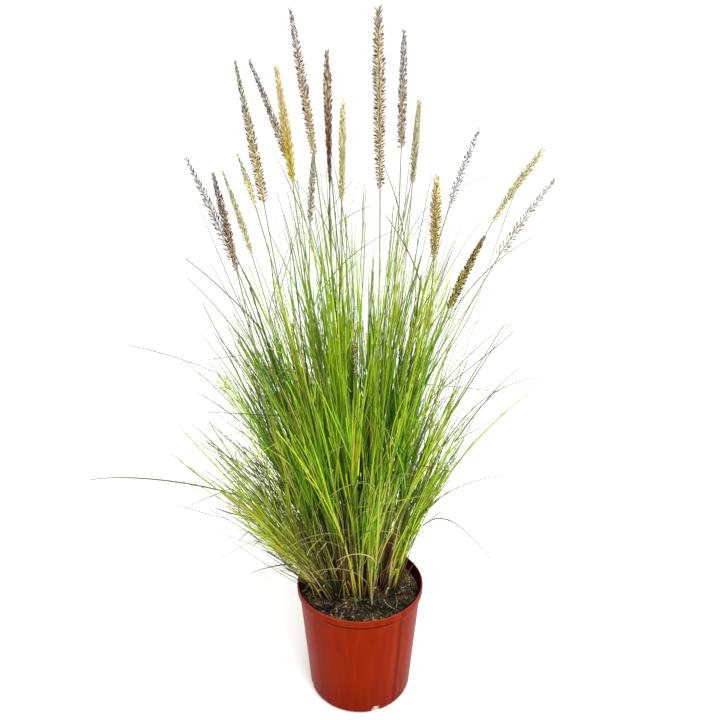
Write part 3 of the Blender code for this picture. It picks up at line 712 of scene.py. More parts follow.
def massed(starts, foot_lean, foot_azimuth, tip_lean, tip_azimuth, lengths, rings, stretch, **kinks):
    """Arcs that end where they would leave the dense mass, stretched by a factor each; and their lengths."""
    arc = (starts, foot_lean, foot_azimuth, tip_lean, tip_azimuth, lengths, rings)
    share = share_in_mass(arcs(*arc), stretch)
    end_lean = foot_lean + (tip_lean - foot_lean) * share**1.15
    lengths = lengths * share
    return arcs(starts, foot_lean, foot_azimuth, end_lean, tip_azimuth, lengths, rings, **kinks), lengths


def picked(paths, host, share):
    """Places at shares along the paths picked as hosts, and the lean and azimuth of the paths there."""
    spots = np.minimum(share * (paths.shape[1] - 1), paths.shape[1] - 1.001)
    first = spots.astype(int)
    step = paths[host, first + 1] - paths[host, first]
    places = paths[host, first] + step * (spots - first)[:, None]
    level = np.hypot(step[:, 0], step[:, 1])
    return places, np.degrees(np.arctan2(level, step[:, 2])), azimuth_of(step)


def tilted(lean, azimuth):
    """Leans and azimuths after the clump has leaned to the left."""
    x = lean * np.cos(np.radians(azimuth)) - CLUMP_TILT
    y = lean * np.sin(np.radians(azimuth))
    return np.hypot(x, y), np.degrees(np.arctan2(y, x))


def tuft_foot(number):
    """Where a tuft's solid stands on the soil."""
    corners = np.array([v.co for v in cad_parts["leaf_tuft_%02d" % number].data.vertices])
    return corners[corners[:, 2] < corners[:, 2].min() + 0.004].mean(axis=0)


def leaves(paths, tip_azimuth, widths, tones, sway=0.016, greyed=0.85):
    """A batch of leaves along paths, with a sway and a twist each, kept inside the box of the solids."""
    count = len(paths)
    aside = heading(np.full(count, 90.0), tip_azimuth + 90.0)[:, None]
    wave = np.sin(lift[None] * rng.uniform(2.0, 7.0, (count, 1)) + rng.uniform(0, 6, (count, 1)))
    wave = (wave - wave[:, :1]) * lift[None] * (1 - 0.5 * lift[None])
    paths = paths + aside * (wave * rng.uniform(0, sway, (count, 1)))[..., None]
    across = rolled(paths, tip_azimuth, rng.normal(0, 40, count), rng.normal(0, 70, count))
    kept = inside_box(paths, -0.001)
    width = widths[:, None] * leaf_outline[None]
    thickness = 0.0003 + width * 0.05
    placed, polygons = laid(leaf, paths[kept], across[kept], width[kept], thickness[kept], fold=LEAF_FOLD)
    greyed = np.broadcast_to(greyed, count)[kept, None]
    return placed, polygons, dimmed(placed, ring_tones(leaf, tones[kept]), greyed)


def cubics(starts, start_heads, ends, end_heads, reach, rings):
    """Cubic curves that leave their starts and reach their ends in given directions."""
    t = np.linspace(0, 1, rings)[None, :, None]
    span = reach * np.linalg.norm(ends - starts, axis=1)[:, None]
    a, b, c, d = (p[:, None] for p in (starts, starts + start_heads * span, ends - end_heads * span, ends))
    return a * (1 - t)**3 + 3 * b * t * (1 - t)**2 + 3 * c * t**2 * (1 - t) + d * t**3


def thatch(foot, outward, foot_lean, skirt):
    """The dark remains of old sheaths, packed round and behind the feet of a tuft's shoots."""
    count = THATCH_PER_TUFT * (2 if skirt else 1)
    spots = foot[None, :2] - unit(outward) * 0.006
    spots = spots + np.clip(rng.normal(0, 0.013, (count, 2)), -0.02, 0.02)
    azimuth = azimuth_of(spots - CLUMP_CENTRE) + rng.normal(0, 20, count)
    lean = foot_lean * rng.uniform(0.1, 1.0, count) + (rng.uniform(0, 26, count) if skirt else 0)
    lengths = rng.uniform(*THATCH_LENGTHS, count)
    lengths = lengths + (0.20 if skirt else 0.12) * (rng.uniform(size=count) < 0.5)
    tip_lean = lean + rng.normal(4, 8, count)
    paths = arcs(on_soil(spots, 0.003), lean, azimuth, tip_lean, azimuth, lengths, SHEATH_RINGS)
    width = rng.uniform(*THATCH_WIDTHS, (count, 1)) * np.linspace(1, 0.5, SHEATH_RINGS)
    across = rolled(paths, azimuth, rng.normal(0, 40, count))
    placed, polygons = laid(sheath, paths, across, width, width * 0.5)
    remains = SKIRT_THATCH_TONES if skirt else THATCH_TONES
    return placed, polygons, mixed(remains, [3, 3, 4, 1.5], count)[:, None]


def leaves_along(shoots, tip_lean, tip_azimuth, hue, foot_tone, skirt):
    """Leaves along a tuft's shoots: broad blades that lie close along them, and thin ones that stand out.
    Each is cut off near the edge of the dense mass, and a few run on well past that."""
    per_shoot = BLADES_PER_SHOOT + SIDES_PER_SHOOT
    host = np.repeat(np.arange(SHOOTS_PER_TUFT), per_shoot)
    count = len(host)
    blade = np.tile(np.arange(per_shoot) < BLADES_PER_SHOOT, SHOOTS_PER_TUFT)
    share = np.where(blade, rng.uniform(0.20, 0.60, count), rng.uniform(0.20, 0.95, count))
    starts, lean, azimuth = picked(shoots, host, share)
    lengths = np.where(blade, rng.uniform(*BLADE_LENGTHS, count), rng.uniform(*SIDE_LENGTHS, count))
    wander = np.where(blade, 0.45, 1.0) * np.where(rng.uniform(size=count) < 0.12, 2.6, 1.0)
    wander = wander * (1.5 if skirt else 1.0)
    leaf_azimuth = azimuth + rng.normal(0, 14, count) * wander
    leaf_tip_azimuth = tip_azimuth[host] + rng.normal(0, 26, count) * wander
    leaf_tip_lean = np.maximum(lean, tip_lean[host] * 0.8) + rng.normal(3, 9, count) * wander
    leaf_tip_lean = np.minimum(leaf_tip_lean, 88.0)
    kinked = (rng.uniform(size=count) < (0.22 if skirt else 0.07)) & ~blade
    kink_at = np.where(kinked, rng.uniform(0.45, 0.85, count), 2.0)
    outlier = rng.uniform(size=count) < 0.10
    stretch = np.where(outlier, rng.uniform(1.2, 1.9, count), rng.uniform(0.66, 1.32, count))
    lean = lean + rng.normal(0, 7, count) * wander
    paths, _ = massed(starts, lean, leaf_azimuth, leaf_tip_lean, leaf_tip_azimuth, lengths, LEAF_RINGS,
                      stretch, kink_at=kink_at, kink=rng.uniform(25, 110, count))
    widths = np.where(blade, rng.uniform(*BLADE_WIDTHS, count), rng.uniform(*SIDE_WIDTHS, count))
    side_tones = mixed(SIDE_GREENS, SIDE_WEIGHTS, count)
    if skirt:
        side_tones = mixed(SKIRT_GREENS, SKIRT_WEIGHTS, count) * 0.8
    middle = np.where(blade[:, None], hue[host] * 0.5 + side_tones * 0.5, side_tones)
    dry = rng.uniform(size=count) < 0.05
    middle[dry] = mixed(["#CDB65A", "#B89C58", "#A8A04A"], [2, 2, 2], int(dry.sum()))
    # Each leaf's foot mixes its own and its shoot's foot colour with painted shade, darker low in the clump.
    shaded = mixed(["#8A8430", "#2E2A10"], [1, 1], count)
    foot_tones = middle * 0.35 + foot_tone[host] * 0.35 + shaded * 0.25
    tips = middle * 0.35 + mixed(DEAD_TIP_TONES, [2, 3, 2, 3], count) * 0.55
    tones = along_tones(foot_tones, middle, tips, LEAF_RINGS, 0.3, np.where(blade, 0.64, 0.55))
    return leaves(paths, leaf_tip_azimuth, widths, tones, greyed=np.where(blade, 0.30, 0.65))


def dry_leaves(shoots, tip_azimuth, count):
    """Thin dry leaves that bend over and cross the others."""
    host = rng.integers(0, SHOOTS_PER_TUFT, count)
    starts, lean, azimuth = picked(shoots, host, rng.uniform(0.1, 0.6, count))
    dry_azimuth = tip_azimuth[host] + rng.normal(0, 55, count)
    paths, _ = massed(starts, lean, azimuth, rng.uniform(75, 150, count), dry_azimuth,
                      rng.uniform(*DRY_LENGTHS, count), LEAF_RINGS, rng.uniform(0.8, 1.2, count))
    tan = mixed(["#D6C484", "#B39C62", "#8A7A48", "#C4BA78"], [3, 3, 2, 2], count)
    tones = along_tones(tan * 0.8, tan, tan * 0.7, LEAF_RINGS)
    return leaves(paths, dry_azimuth, rng.uniform(*DRY_WIDTHS, count), tones, sway=0.03)


def long_leaf(foot, outward, foot_lean, tip, end_lean, bow, width):
    """The long single leaf of a tuft, which its solid has too."""
    head = heading(np.array([foot_lean]), azimuth_of(outward[None]))
    start = foot[None] + head * SHEATH_LENGTH
    bearing = azimuth_of(np.array(tip) - start)
    path = cubics(start, head, np.array([tip]), heading(np.array([end_lean]), bearing), bow, LEAF_RINGS)
    base, middle, point = (mixed([code], [1], 1) for code in LONG_LEAF_TONES)
    tones = along_tones(base, middle, point, LEAF_RINGS, 0.25, 0.35)
    return leaves(path, bearing, np.array([width / 1000]), tones, sway=0.0, greyed=0.2)


leaf_points = []
number = 0
for ring_count, ring_foot_lean, ring_tip_lean, ring_length in TUFT_RINGS:
    for _ in range(ring_count):
        number += 1
        rng = np.random.default_rng(400 + number)
        foot = tuft_foot(number)
        outward = foot[:2] - CLUMP_CENTRE
        lowest = ring_foot_lean > 15

        # Each shoot is a sheathed foot that runs into a thin culm; the last few are short broken stubs. A
        # skirt of lower, browner ones hangs round the left.
        count = SHOOTS_PER_TUFT + STUBS_PER_TUFT
        stub = np.arange(count) >= SHOOTS_PER_TUFT
        spots = foot[None, :2] + np.clip(rng.normal(0, 0.0125, (count, 2)), -0.018, 0.018)
        feet = on_soil(spots, 0.004)
        azimuth = azimuth_of(spots - CLUMP_CENTRE)
        tip_azimuth = azimuth + rng.normal(0, 16, count)
        to_left = -np.cos(np.radians(tip_azimuth))
        to_front = np.maximum(0, -np.sin(np.radians(tip_azimuth)))
        skirt = lowest and to_left.mean() > 0.3
        spread = 1 + 0.02 * np.maximum(0, to_left) - 0.14 * np.maximum(0, -to_left)
        spread = spread - 0.50 * to_front
        lean, azimuth = tilted(ring_foot_lean * spread + rng.normal(0, 4.0, count), azimuth)
        tip_lean = ring_tip_lean * spread + rng.normal(0, 12.0, count)
        tip_lean, tip_azimuth = tilted(tip_lean, tip_azimuth)
        if skirt:
            low_hung = rng.uniform(0, 1, count) ** 1.5
            lean = lean + 21 * low_hung
            tip_lean = tip_lean + 18 * low_hung
        short, long = rng.uniform(*STUB_LENGTHS, count), ring_length * rng.uniform(0.45, 1.02, count)
        reach = np.where(stub, short, long)
        shoots, reach = massed(feet, lean, azimuth, tip_lean, tip_azimuth, reach, SHOOT_RINGS,
                               rng.uniform(0.62, 1.22, count))
        girth = np.interp(reach[:, None] * np.linspace(0, 1, SHOOT_RINGS), (0, 0.08, 0.16, 0.40, 0.60),
                          (1, 0.82, 0.58, 0.50, 0.42))
        girth = girth * rng.uniform(*FOOT_GIRTHS, (count, 1)) * (1 - 0.30 * to_front[:, None])
        hue = mixed(SHOOT_GREENS, SHOOT_WEIGHTS, count) * 0.9
        if skirt:
            hue = mixed(SKIRT_GREENS, SKIRT_WEIGHTS, count)
        foot_tone = mixed(FOOT_TONES, FOOT_WEIGHTS, count)
        middle_tone = np.where(stub[:, None], foot_tone, hue)
        low = np.clip(rng.uniform(0.12, 0.32, count) / reach, 0.05, 0.9)
        tones = along_tones(foot_tone, middle_tone, middle_tone * 0.85, SHOOT_RINGS, low)
        across = rolled(shoots, azimuth, rng.normal(0, 40, count))
        placed, polygons = laid(shoot, shoots, across, girth, girth * 0.6)
        batches = [(placed, polygons, dimmed(placed, ring_tones(shoot, tones)))]
        batches.append(thatch(foot, outward, ring_foot_lean, skirt))
        batches.append(leaves_along(shoots, tip_lean, tip_azimuth, hue, foot_tone, skirt))
        batches.append(dry_leaves(shoots, tip_azimuth, DRY_PER_TUFT if lowest else DRY_PER_TUFT // 3))
        if number in LONG_LEAVES:
            batches.append(long_leaf(foot, outward, ring_foot_lean, *LONG_LEAVES[number]))
        leaf_points += [placed.reshape(-1, 3) for placed, _, _ in batches]
        name = "leaf_tuft_%02d" % number
        tuft = joined("grass_" + name, batches, grass)
        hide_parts(name)
        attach(tuft, "root")


# ---- Moss, fibres, straws and weeds on the soil ------------------------------------------------
# Short dry fibres lie all over the soil, and dark moss in front of the clump; single long leaves, most
# of them dry, hang over its foot and out of it, and four seedlings of weeds stand in front.

MOSS = 2200
# Per kind: how many, colours and their shares, lengths from and to, thickness, and how far they lift.
LITTER_KINDS = (
    (1400, ["#A08C60", "#6E5C3A", "#C2B48A", "#4A3C26"], [3, 4, 1.5, 3], (0.005, 0.018), 0.00045, 18),
    (MOSS, ["#1C2A12", "#2E3A16", "#4C5424", "#10160C", "#6C6A34"], [4, 4, 2, 3, 1],
     (0.002, 0.006), 0.0004, 45),
)
# Where moss grows, in front of the clump, how far it spreads from there, and how near the wall it comes.
MOSS_PATCHES = ((0.018, -0.080), (0.055, -0.060))
MOSS_SPREAD = (0.030, 0.022)
MOSS_REACH = 0.118
# The camera that the picture was taken with: its place, pitch, and focal length in pixels of the picture.
CAMERA_PLACE = np.array([0.0, -1.229, 1.170])
CAMERA_PITCH = 19.4
PICTURE_WIDTH = 720
FOCAL_PIXELS = 700.0
FIBRE_RINGS = 5
ON_LEAF, ON_SOIL, KINKED = "on the leaf that shows there", "on the soil", "kinked"
# Single leaves, each through three places as the picture shows them: across, down, and on what or how
# deep, where that isn't on a leaf. Then the width in mm and the colour; two are kinked at the middle place.
STRAWS = (
    ((326, 543), (312, 562, -0.030), (297, 584, -0.017), 2.4, "#D2C88A"),
    ((347, 550), (314, 541), (290, 557), 1.6, "#B8AC7C"),
    ((347, 555), (337, 569), (332, 577), 1.8, "#D8CC8C"),
    ((326, 571), (312, 582), (303, 592, -0.050), 1.4, "#B9A27A"),
    ((346, 581), (335, 580), (323, 581), 1.2, "#B9A480"),
    ((324, 585), (325, 594, ON_SOIL), (328, 604, ON_SOIL), 1.8, "#D8CCB0"),
    ((330, 586), (331, 593, ON_SOIL), (333, 600, ON_SOIL), 1.2, "#A8946A"),
    ((348, 602, ON_SOIL), (344, 611, ON_SOIL), (338, 621, -0.126), 1.2, "#C9B28A"),
    ((347, 602, ON_SOIL), (339, 607, ON_SOIL), (330, 613, ON_SOIL), 1.1, "#A8946A"),
    ((384, 601, ON_SOIL), (388, 606, ON_SOIL), (398, 610, ON_SOIL), 1.8, "#D2BE98"),
    ((396, 597, ON_SOIL), (397, 602, ON_SOIL), (396, 607, ON_SOIL), 1.4, "#CBB88C"),
    ((370, 594, ON_SOIL), (377, 597, ON_SOIL), (384, 600, ON_SOIL), 1.0, "#A89870"),
    ((396, 582, ON_SOIL), (402, 588, ON_SOIL), (407, 585, ON_SOIL), 1.3, "#B8B098"),
    ((348, 601, ON_SOIL), (355, 603, ON_SOIL), (357, 610, ON_SOIL), 1.1, "#8E9A5A"),
    ((393, 566), (402, 559, 0.010), (411, 555, 0.020), 1.4, "#8E8A68"),
    ((376, 530), (382, 512), (374, 504), 2.4, "#B08A4C", KINKED),
    ((351, 392), (331, 362), (339, 330), 2.2, "#C8C428", KINKED),
    ((352, 470), (354, 440), (356, 405), 3.0, "#D0B428"),
    ((357, 462), (358, 440), (360, 418), 2.0, "#C89A30"),
    ((370, 450), (372, 432), (365, 414), 1.8, "#C0A040"),
    ((310, 477), (314, 462), (344, 446), 1.4, "#B4B080"),
    ((370, 516), (374, 460), (380, 395), 4.0, "#A0CC14"),
    ((358, 476), (361, 430), (366, 385), 3.4, "#C0C81C"),
    ((352, 462), (334, 420), (316, 380), 3.4, "#98C41C"),
    ((280, 513), (296, 507), (304, 500), 1.4, "#B4B05C"),
    ((370, 520), (394, 512), (400, 528), 1.4, "#A89C58"),
    ((457, 480), (473, 515, 0.0), (490, 560, 0.0), 0.9, "#9A9C90"),
    ((416, 556), (440, 544, 0.020), (466, 548, 0.0), 1.0, "#7C7E74"),
    ((262, 330), (225, 292, 0.0), (185, 258, 0.0), 2.4, "#3A3E28"),
    ((262, 398), (225, 345, 0.0), (203, 303, 0.0), 2.3, "#465022"),
    ((240, 386), (192, 363, 0.0), (128, 345, 0.0), 2.2, "#4A4E38"),
    ((245, 522), (215, 516, 0.0), (178, 505, 0.0), 1.9, "#4A4E38"),
    ((432, 396), (475, 364, 0.0), (513, 332, 0.0), 2.3, "#3A3E28"),
    ((455, 442), (490, 396, 0.0), (520, 367, 0.0), 2.3, "#3A3E28"),
    ((420, 516), (455, 489, 0.0), (503, 475, 0.0), 2.1, "#465022"),
    ((422, 526), (455, 502, 0.0), (486, 486, 0.0), 1.9, "#4A4E38"),
    ((448, 410), (470, 338, 0.0), (497, 276, 0.0), 1.5, "#5A5E4A"),
    ((455, 441), (484, 425, 0.0), (505, 412, 0.0), 1.6, "#5A5E4A"),
)
# Seedlings: the pixel that each stands at, how many leaves it has, how long they are, and their colour.
SEEDLING_WIDTHS = (0.0008, 0.0015)
SEEDLINGS = (
    (375, 589, 8, 0.010, "#6E9434"),
    (391, 590, 6, 0.008, "#5E8A48"),
    (357, 603, 9, 0.017, "#9CCB84"),
    (365, 602, 6, 0.011, "#84A48A"),
)

fibre = strand(3, FIBRE_RINGS)
straw = strand(4, LEAF_RINGS)

leaf_points = np.concatenate(leaf_points)
half_picture = PICTURE_WIDTH / 2
pitch = math.radians(CAMERA_PITCH)
ahead = np.array([0.0, math.cos(pitch), -math.sin(pitch)])
upward = np.array([0.0, math.sin(pitch), math.cos(pitch)])
leaf_ahead = (leaf_points - CAMERA_PLACE) @ ahead
leaf_across = half_picture + FOCAL_PIXELS * leaf_points[:, 0] / leaf_ahead
leaf_down = half_picture - FOCAL_PIXELS * ((leaf_points - CAMERA_PLACE) @ upward) / leaf_ahead


def seen(across, down, depth=ON_LEAF):
    """The place that the picture shows at a pixel: at a depth along Y, or on what is there."""
    ray = ahead + upward * (half_picture - down) / FOCAL_PIXELS
    ray = ray + np.array([(across - half_picture) / FOCAL_PIXELS, 0.0, 0.0])
    if depth == ON_SOIL:
        spot = CAMERA_PLACE + ray * (SOIL_TOP - 0.003 - CAMERA_PLACE[2]) / ray[2]
        return np.array([spot[0], spot[1], soil_height(spot[0], spot[1]) + 0.0012])
    if depth == ON_LEAF:
        near = np.argpartition(np.hypot(leaf_across - across, leaf_down - down), 50)[:50]
        front = near[np.argsort(leaf_ahead[near])[:6]]
        depth = leaf_points[front, 1].min() - 0.002
    return CAMERA_PLACE + ray * (depth - CAMERA_PLACE[1]) / ray[1]


rng = np.random.default_rng(55)
litter = []
for count, codes, weights, lengths, thick, lift_up in LITTER_KINDS:
    spots = soil_places(count)
    if count == MOSS:
        near = np.where(rng.uniform(size=(count, 1)) < 0.5, *MOSS_PATCHES)
        near = near + rng.normal(0, MOSS_SPREAD, (count, 2))
        spots = on_soil(near * np.minimum(1, MOSS_REACH / np.hypot(near[:, :1], near[:, 1:])))
    azimuth = rng.uniform(0, 360, count)
    lean = 90 - rng.normal(4, lift_up, count)
    bend = azimuth + rng.normal(0, 60, count)
    spots[:, 2] += 0.0008
    tip_lean = 90 + rng.normal(4, 18, count)
    paths = arcs(spots, lean, azimuth, tip_lean, bend, rng.uniform(*lengths, count), FIBRE_RINGS)
    paths = paths[inside_box(paths, 0.0)]
    count = len(paths)
    width = rng.uniform(0.5, 1.0, (count, 1)) * thick * np.ones((1, FIBRE_RINGS))
    placed, polygons = laid(fibre, paths, rolled(paths, 0.0), width, width)
    litter.append((placed, polygons, mixed(codes, weights, count)[:, None]))

ends = np.array([[seen(*row[0]), seen(*row[1]), seen(*row[2])] for row in STRAWS])
t = np.linspace(0, 1, LEAF_RINGS)[None, :, None]
bows = 2 * ends[:, 1:2] - (ends[:, :1] + ends[:, 2:]) / 2
paths = ends[:, :1] * (1 - t) ** 2 + 2 * bows * t * (1 - t) + ends[:, 2:] * t**2
sharp = (ends[:, :1] * np.maximum(0, 1 - 2 * t) + ends[:, 1:2] * (1 - np.abs(2 * t - 1))
         + ends[:, 2:] * np.maximum(0, 2 * t - 1))
kinked = np.array([row[-1] == KINKED for row in STRAWS])
paths[kinked] = sharp[kinked]
width = np.array([row[3] for row in STRAWS])[:, None] / 1000 * (1 - 0.5 * t[..., 0])
tones = np.array([srgb(row[4]) for row in STRAWS])[:, None]
across = rolled(paths, 0.0, rng.normal(60, 20, len(paths)), rng.normal(0, 60, len(paths)))
placed, polygons = laid(straw, paths, across, width, width * 0.35)
litter.append((placed, polygons, tones))

# Each seedling is a few narrow soft leaves that arch out from one point.
for across_at, down_at, count, size, code in SEEDLINGS:
    places = np.tile(seen(across_at, down_at, ON_SOIL), (count, 1))
    azimuth = rng.uniform(0, 360, count)
    paths = arcs(places, rng.uniform(10, 60, count), azimuth, rng.uniform(80, 130, count),
                 azimuth + rng.normal(0, 30, count), size * rng.uniform(0.5, 1.2, count), LEAF_RINGS)
    width = rng.uniform(*SEEDLING_WIDTHS, (count, 1)) * np.sin(np.pi * np.linspace(0.15, 0.93, LEAF_RINGS))
    placed, polygons = laid(straw, paths, rolled(paths, azimuth), width, width * 0.2)
    litter.append((placed, polygons, mixed([code], [1], count)[:, None]))
fallen = joined("moss_fibres_and_straws", litter, grass)
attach(fallen, "root")


# ---- Flower stems ------------------------------------------------------------------------------
# Thin round canes that carry the spikes well above the leaves, green, and thinner and duller towards
# the spike; a few narrow leaves grow out of the upper half. Each cane follows its solid's centreline.

STEMS = 20
STEM_SIDES = 4
STEM_RINGS = 26
STEM_WIDTHS = (0.0038, 0.0035, 0.0025, 0.0018)
CULM_LEAVES = 4
CULM_LEAF_LENGTHS, CULM_LEAF_WIDTHS = (0.14, 0.34), (0.0016, 0.0028)
stem_strand = strand(8, STEM_RINGS)


def centreline(node, sides):
    """The middles and the radii of the rings of corners along a solid that is a tube, from the bottom up."""
    corners = np.array([v.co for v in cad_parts[node].data.vertices])
    corners = np.unique(corners.round(6), axis=0)
    corners = corners[np.argsort(corners[:, 2])]
    rings = corners.reshape(-1, sides, 3)
    middles = rings.mean(axis=1)
    return middles, np.linalg.norm(rings - middles[:, None], axis=2).mean(axis=1)


def smoothed(points, count):
    """Evenly numbered points on a smooth curve through the given ones."""
    ends = np.vstack([2 * points[0] - points[1], points, 2 * points[-1] - points[-2]])
    spots = np.linspace(0, len(points) - 1.000001, count)
    first = spots.astype(int)
    t = (spots - first)[:, None]
    a, b, c, d = (ends[first + i] for i in range(4))
    return 0.5 * (2 * b + (c - a) * t + (2 * a - 5 * b + 4 * c - d) * t**2 + (3 * b - a - 3 * c + d) * t**3)


for number in range(1, STEMS + 1):
    rng = np.random.default_rng(700 + number)
    name = "flower_stem_%02d" % number
    middles, _ = centreline(name, STEM_SIDES)
    path = smoothed(middles, STEM_RINGS)[None]
    t = np.linspace(0, 1, STEM_RINGS)
    widths = np.interp(t, (0, 0.55, 0.75, 1), STEM_WIDTHS)[None]
    foot_tone = mixed(["#8A7A45", "#7A5A45"], [1, 1], 1)
    middle_tone = mixed(["#A3BE34", "#8CAE30"], [1, 1], 1)
    top_tone = mixed(["#6E7830", "#6C6A3A", "#647A2C"], [1, 1, 1], 1)
    tones = along_tones(foot_tone, middle_tone, top_tone, STEM_RINGS, 0.35, 0.60)
    placed, polygons = laid(stem_strand, path, rolled(path, 0.0), widths, widths)
    batches = [(placed, polygons, ring_tones(stem_strand, tones))]

    ring = rng.integers(int(0.42 * STEM_RINGS), int(0.88 * STEM_RINGS), CULM_LEAVES)
    starts = path[0, ring]
    rise = unit(path[0, ring] - path[0, ring - 1])
    lean = np.degrees(np.arccos(rise[:, 2]))
    azimuth = azimuth_of(rise) + rng.normal(0, 25, CULM_LEAVES)
    tip_azimuth = azimuth + rng.normal(0, 90, CULM_LEAVES)
    tip_lean = rng.uniform(15, 75, CULM_LEAVES)
    lengths = rng.uniform(*CULM_LEAF_LENGTHS, CULM_LEAVES)
    lean = lean + rng.uniform(2, 10, CULM_LEAVES)
    paths = arcs(starts, lean, azimuth, tip_lean, tip_azimuth, lengths, LEAF_RINGS)
    middle = mixed(["#8AA828", "#6A8420", "#5E6A30"], [3, 3, 3], CULM_LEAVES)
    tips = mixed(["#464634", "#5C5C4A"], [1, 1], CULM_LEAVES)
    tones = along_tones(middle, middle, tips, LEAF_RINGS, 0.16, 0.45)
    widths = rng.uniform(*CULM_LEAF_WIDTHS, CULM_LEAVES)
    batches.append(leaves(paths, tip_azimuth, widths, tones, sway=0.01))
    stem = joined("cane_" + name, batches, grass)
    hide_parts(name)
    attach(stem, "root")


# ---- Flower spikes -----------------------------------------------------------------------------
# Bottle brushes of spikelets set in close whorls round the upper end of the stem: each is a pale
# husk with a darker awn that points up and out, among fine bristles. One of each is modelled and
# copied.

# Per spike: kind; half-width at the foot, a third, two thirds and the tip, as shares of the solid's;
# tones of the husks at the foot and tip of the spike, and of the awns there.
SPIKE_LOOKS = (
    ("bare", (0.80, 1.05, 0.80, 0.35), "#B0A490", "#BAB8B6", "#221C18", "#2E2E30"),
    ("rust", (0.50, 1.05, 0.90, 0.30), "#C5A67F", "#C2AA9C", "#2C1208", "#2C221E"),
    ("young", (0.85, 1.20, 0.80, 0.30), "#E0D48E", "#D4D29C", "#4C4418", "#4C4C2A"),
    ("young", (1.00, 1.45, 0.95, 0.25), "#E6DA8E", "#CACEA4", "#565018", "#4A5436"),
    ("ripe", (1.10, 1.20, 0.80, 0.25), "#E2C987", "#C7C3A6", "#3C3215", "#414233"),
    ("ripe", (1.20, 1.20, 0.95, 0.45), "#D3BD98", "#C9C1BB", "#2C2218", "#353230"),
    ("dense", (0.60, 1.22, 0.80, 0.42), "#DCC658", "#E8D6A0", "#928424", "#A09060"),
    ("ripe", (0.75, 1.02, 0.92, 0.30), "#D8BE87", "#E2D4CA", "#2C210E", "#504542"),
    ("ripe", (0.90, 1.05, 1.10, 0.55), "#DAC9A4", "#D6CEAA", "#352B1C", "#4A4535"),
    ("rust", (0.40, 0.80, 1.15, 0.40), "#8E4A20", "#E6D0AE", "#220A02", "#44321E"),
    ("dense", (0.72, 0.96, 1.15, 0.50), "#DCCA80", "#E4DAA2", "#645422", "#7A6C40"),
    ("brush", (0.75, 1.00, 1.12, 0.70), "#DEC9A0", "#E2CEA4", "#281E14", "#3F301E"),
    ("ripe", (1.15, 1.22, 1.06, 0.48), "#B8A178", "#DCD0C6", "#221808", "#342C28"),
    ("dense", (0.90, 1.10, 1.00, 0.75), "#C4B88C", "#D2C89C", "#524A2A", "#7E7650"),
    ("bare", (1.00, 1.15, 0.90, 0.55), "#CCC4BC", "#D0CCCA", "#4E4440", "#525050"),
    ("young", (0.70, 1.10, 1.18, 0.75), "#D0C890", "#D4CC9C", "#6E683A", "#746C4C"),
    ("bare", (1.25, 1.00, 0.70, 0.35), "#D8CEBC", "#DCD6D0", "#665440", "#74706A"),
    ("dense", (0.60, 1.12, 1.05, 0.45), "#D2C070", "#EEDCA0", "#56480E", "#7E6C2C"),
    ("rust", (1.05, 1.36, 1.05, 0.40), "#C4BA4C", "#C8AE5C", "#38320A", "#44340F"),
    ("rust", (0.80, 1.00, 0.90, 0.50), "#DED294", "#D6CB90", "#352E22", "#3C3627"),
)
# Per kind: spikelets in 10 mm of spike, their angle from the axis at its foot and its tip, the widths of
# husk and awn in mm, where along a spikelet its dark awn starts, and fine bristles per mm of spike.
SPIKE_KINDS = {
    "ripe": (15, 62.0, 38.0, 1.7, 1.65, 0.33, 3.0),
    "brush": (14, 76.0, 56.0, 1.55, 1.7, 0.30, 8.0),
    "dense": (16, 48.0, 30.0, 1.9, 1.35, 0.42, 8.0),
    "bare": (7, 52.0, 34.0, 1.0, 1.7, 0.38, 0.8),
    "rust": (15, 46.0, 30.0, 1.8, 1.7, 0.34, 2.5),
    "young": (12, 46.0, 30.0, 1.7, 1.3, 0.42, 4.0),
}
SPIKE_SIDES = 6
AXIS_POINTS = 60
GOLDEN_ANGLE = 137.5
RACHIS_RINGS = 20
RACHIS_WIDTHS = (0.0022, 0.0008)
LONGEST_SPIKELET = 0.017
LONGEST_BRISTLE = 0.018
BRISTLE_RADII = (0.00012, 0.00024)
ENDS_GREY = "#807C76"
# How far along the spike the half-widths of its outline are, and the angles of its spikelets.
OUTLINE_SHARES = (0.0, 0.33, 0.66, 1.0)
FLARE_SHARES = (0.0, 0.88, 1.0)
# The awns reach a little past the solid's own girth. The topmost are attached this far below the tip, on
# a narrow tip and on a full one.
FULLNESS = 1.12
TIP_INSETS = (0.002, 0.012)

# One husk, one awn and one bristle, each one long from its foot.
bpy.ops.mesh.primitive_uv_sphere_add(segments=4, ring_count=3, radius=1, location=(0, 0, 1))
bpy.ops.object.transform_apply(location=True)
seed = shape_of(bpy.context.object)
seed[0][:, 2] /= 2
bpy.ops.mesh.primitive_uv_sphere_add(segments=4, ring_count=2, radius=1, location=(0, 0, 1))
bpy.ops.object.transform_apply(location=True)
awn = shape_of(bpy.context.object)
awn[0][:, 2] /= 2
bpy.ops.mesh.primitive_cone_add(vertices=3, radius1=1, depth=1, location=(0, 0, 0.5))
bpy.ops.object.transform_apply(location=True)
bristle = shape_of(bpy.context.object)
rachis = strand(6, RACHIS_RINGS)

# Dry husk and bristle: matt and papery, with the colour of each seed and hair.
husk = toned_material("Dry seed husk and bristle", 0.8, 1.45, specular=0.2,
                      grain_size=0.0015, detail=1.0, low=0.8, high=1.2)[0]


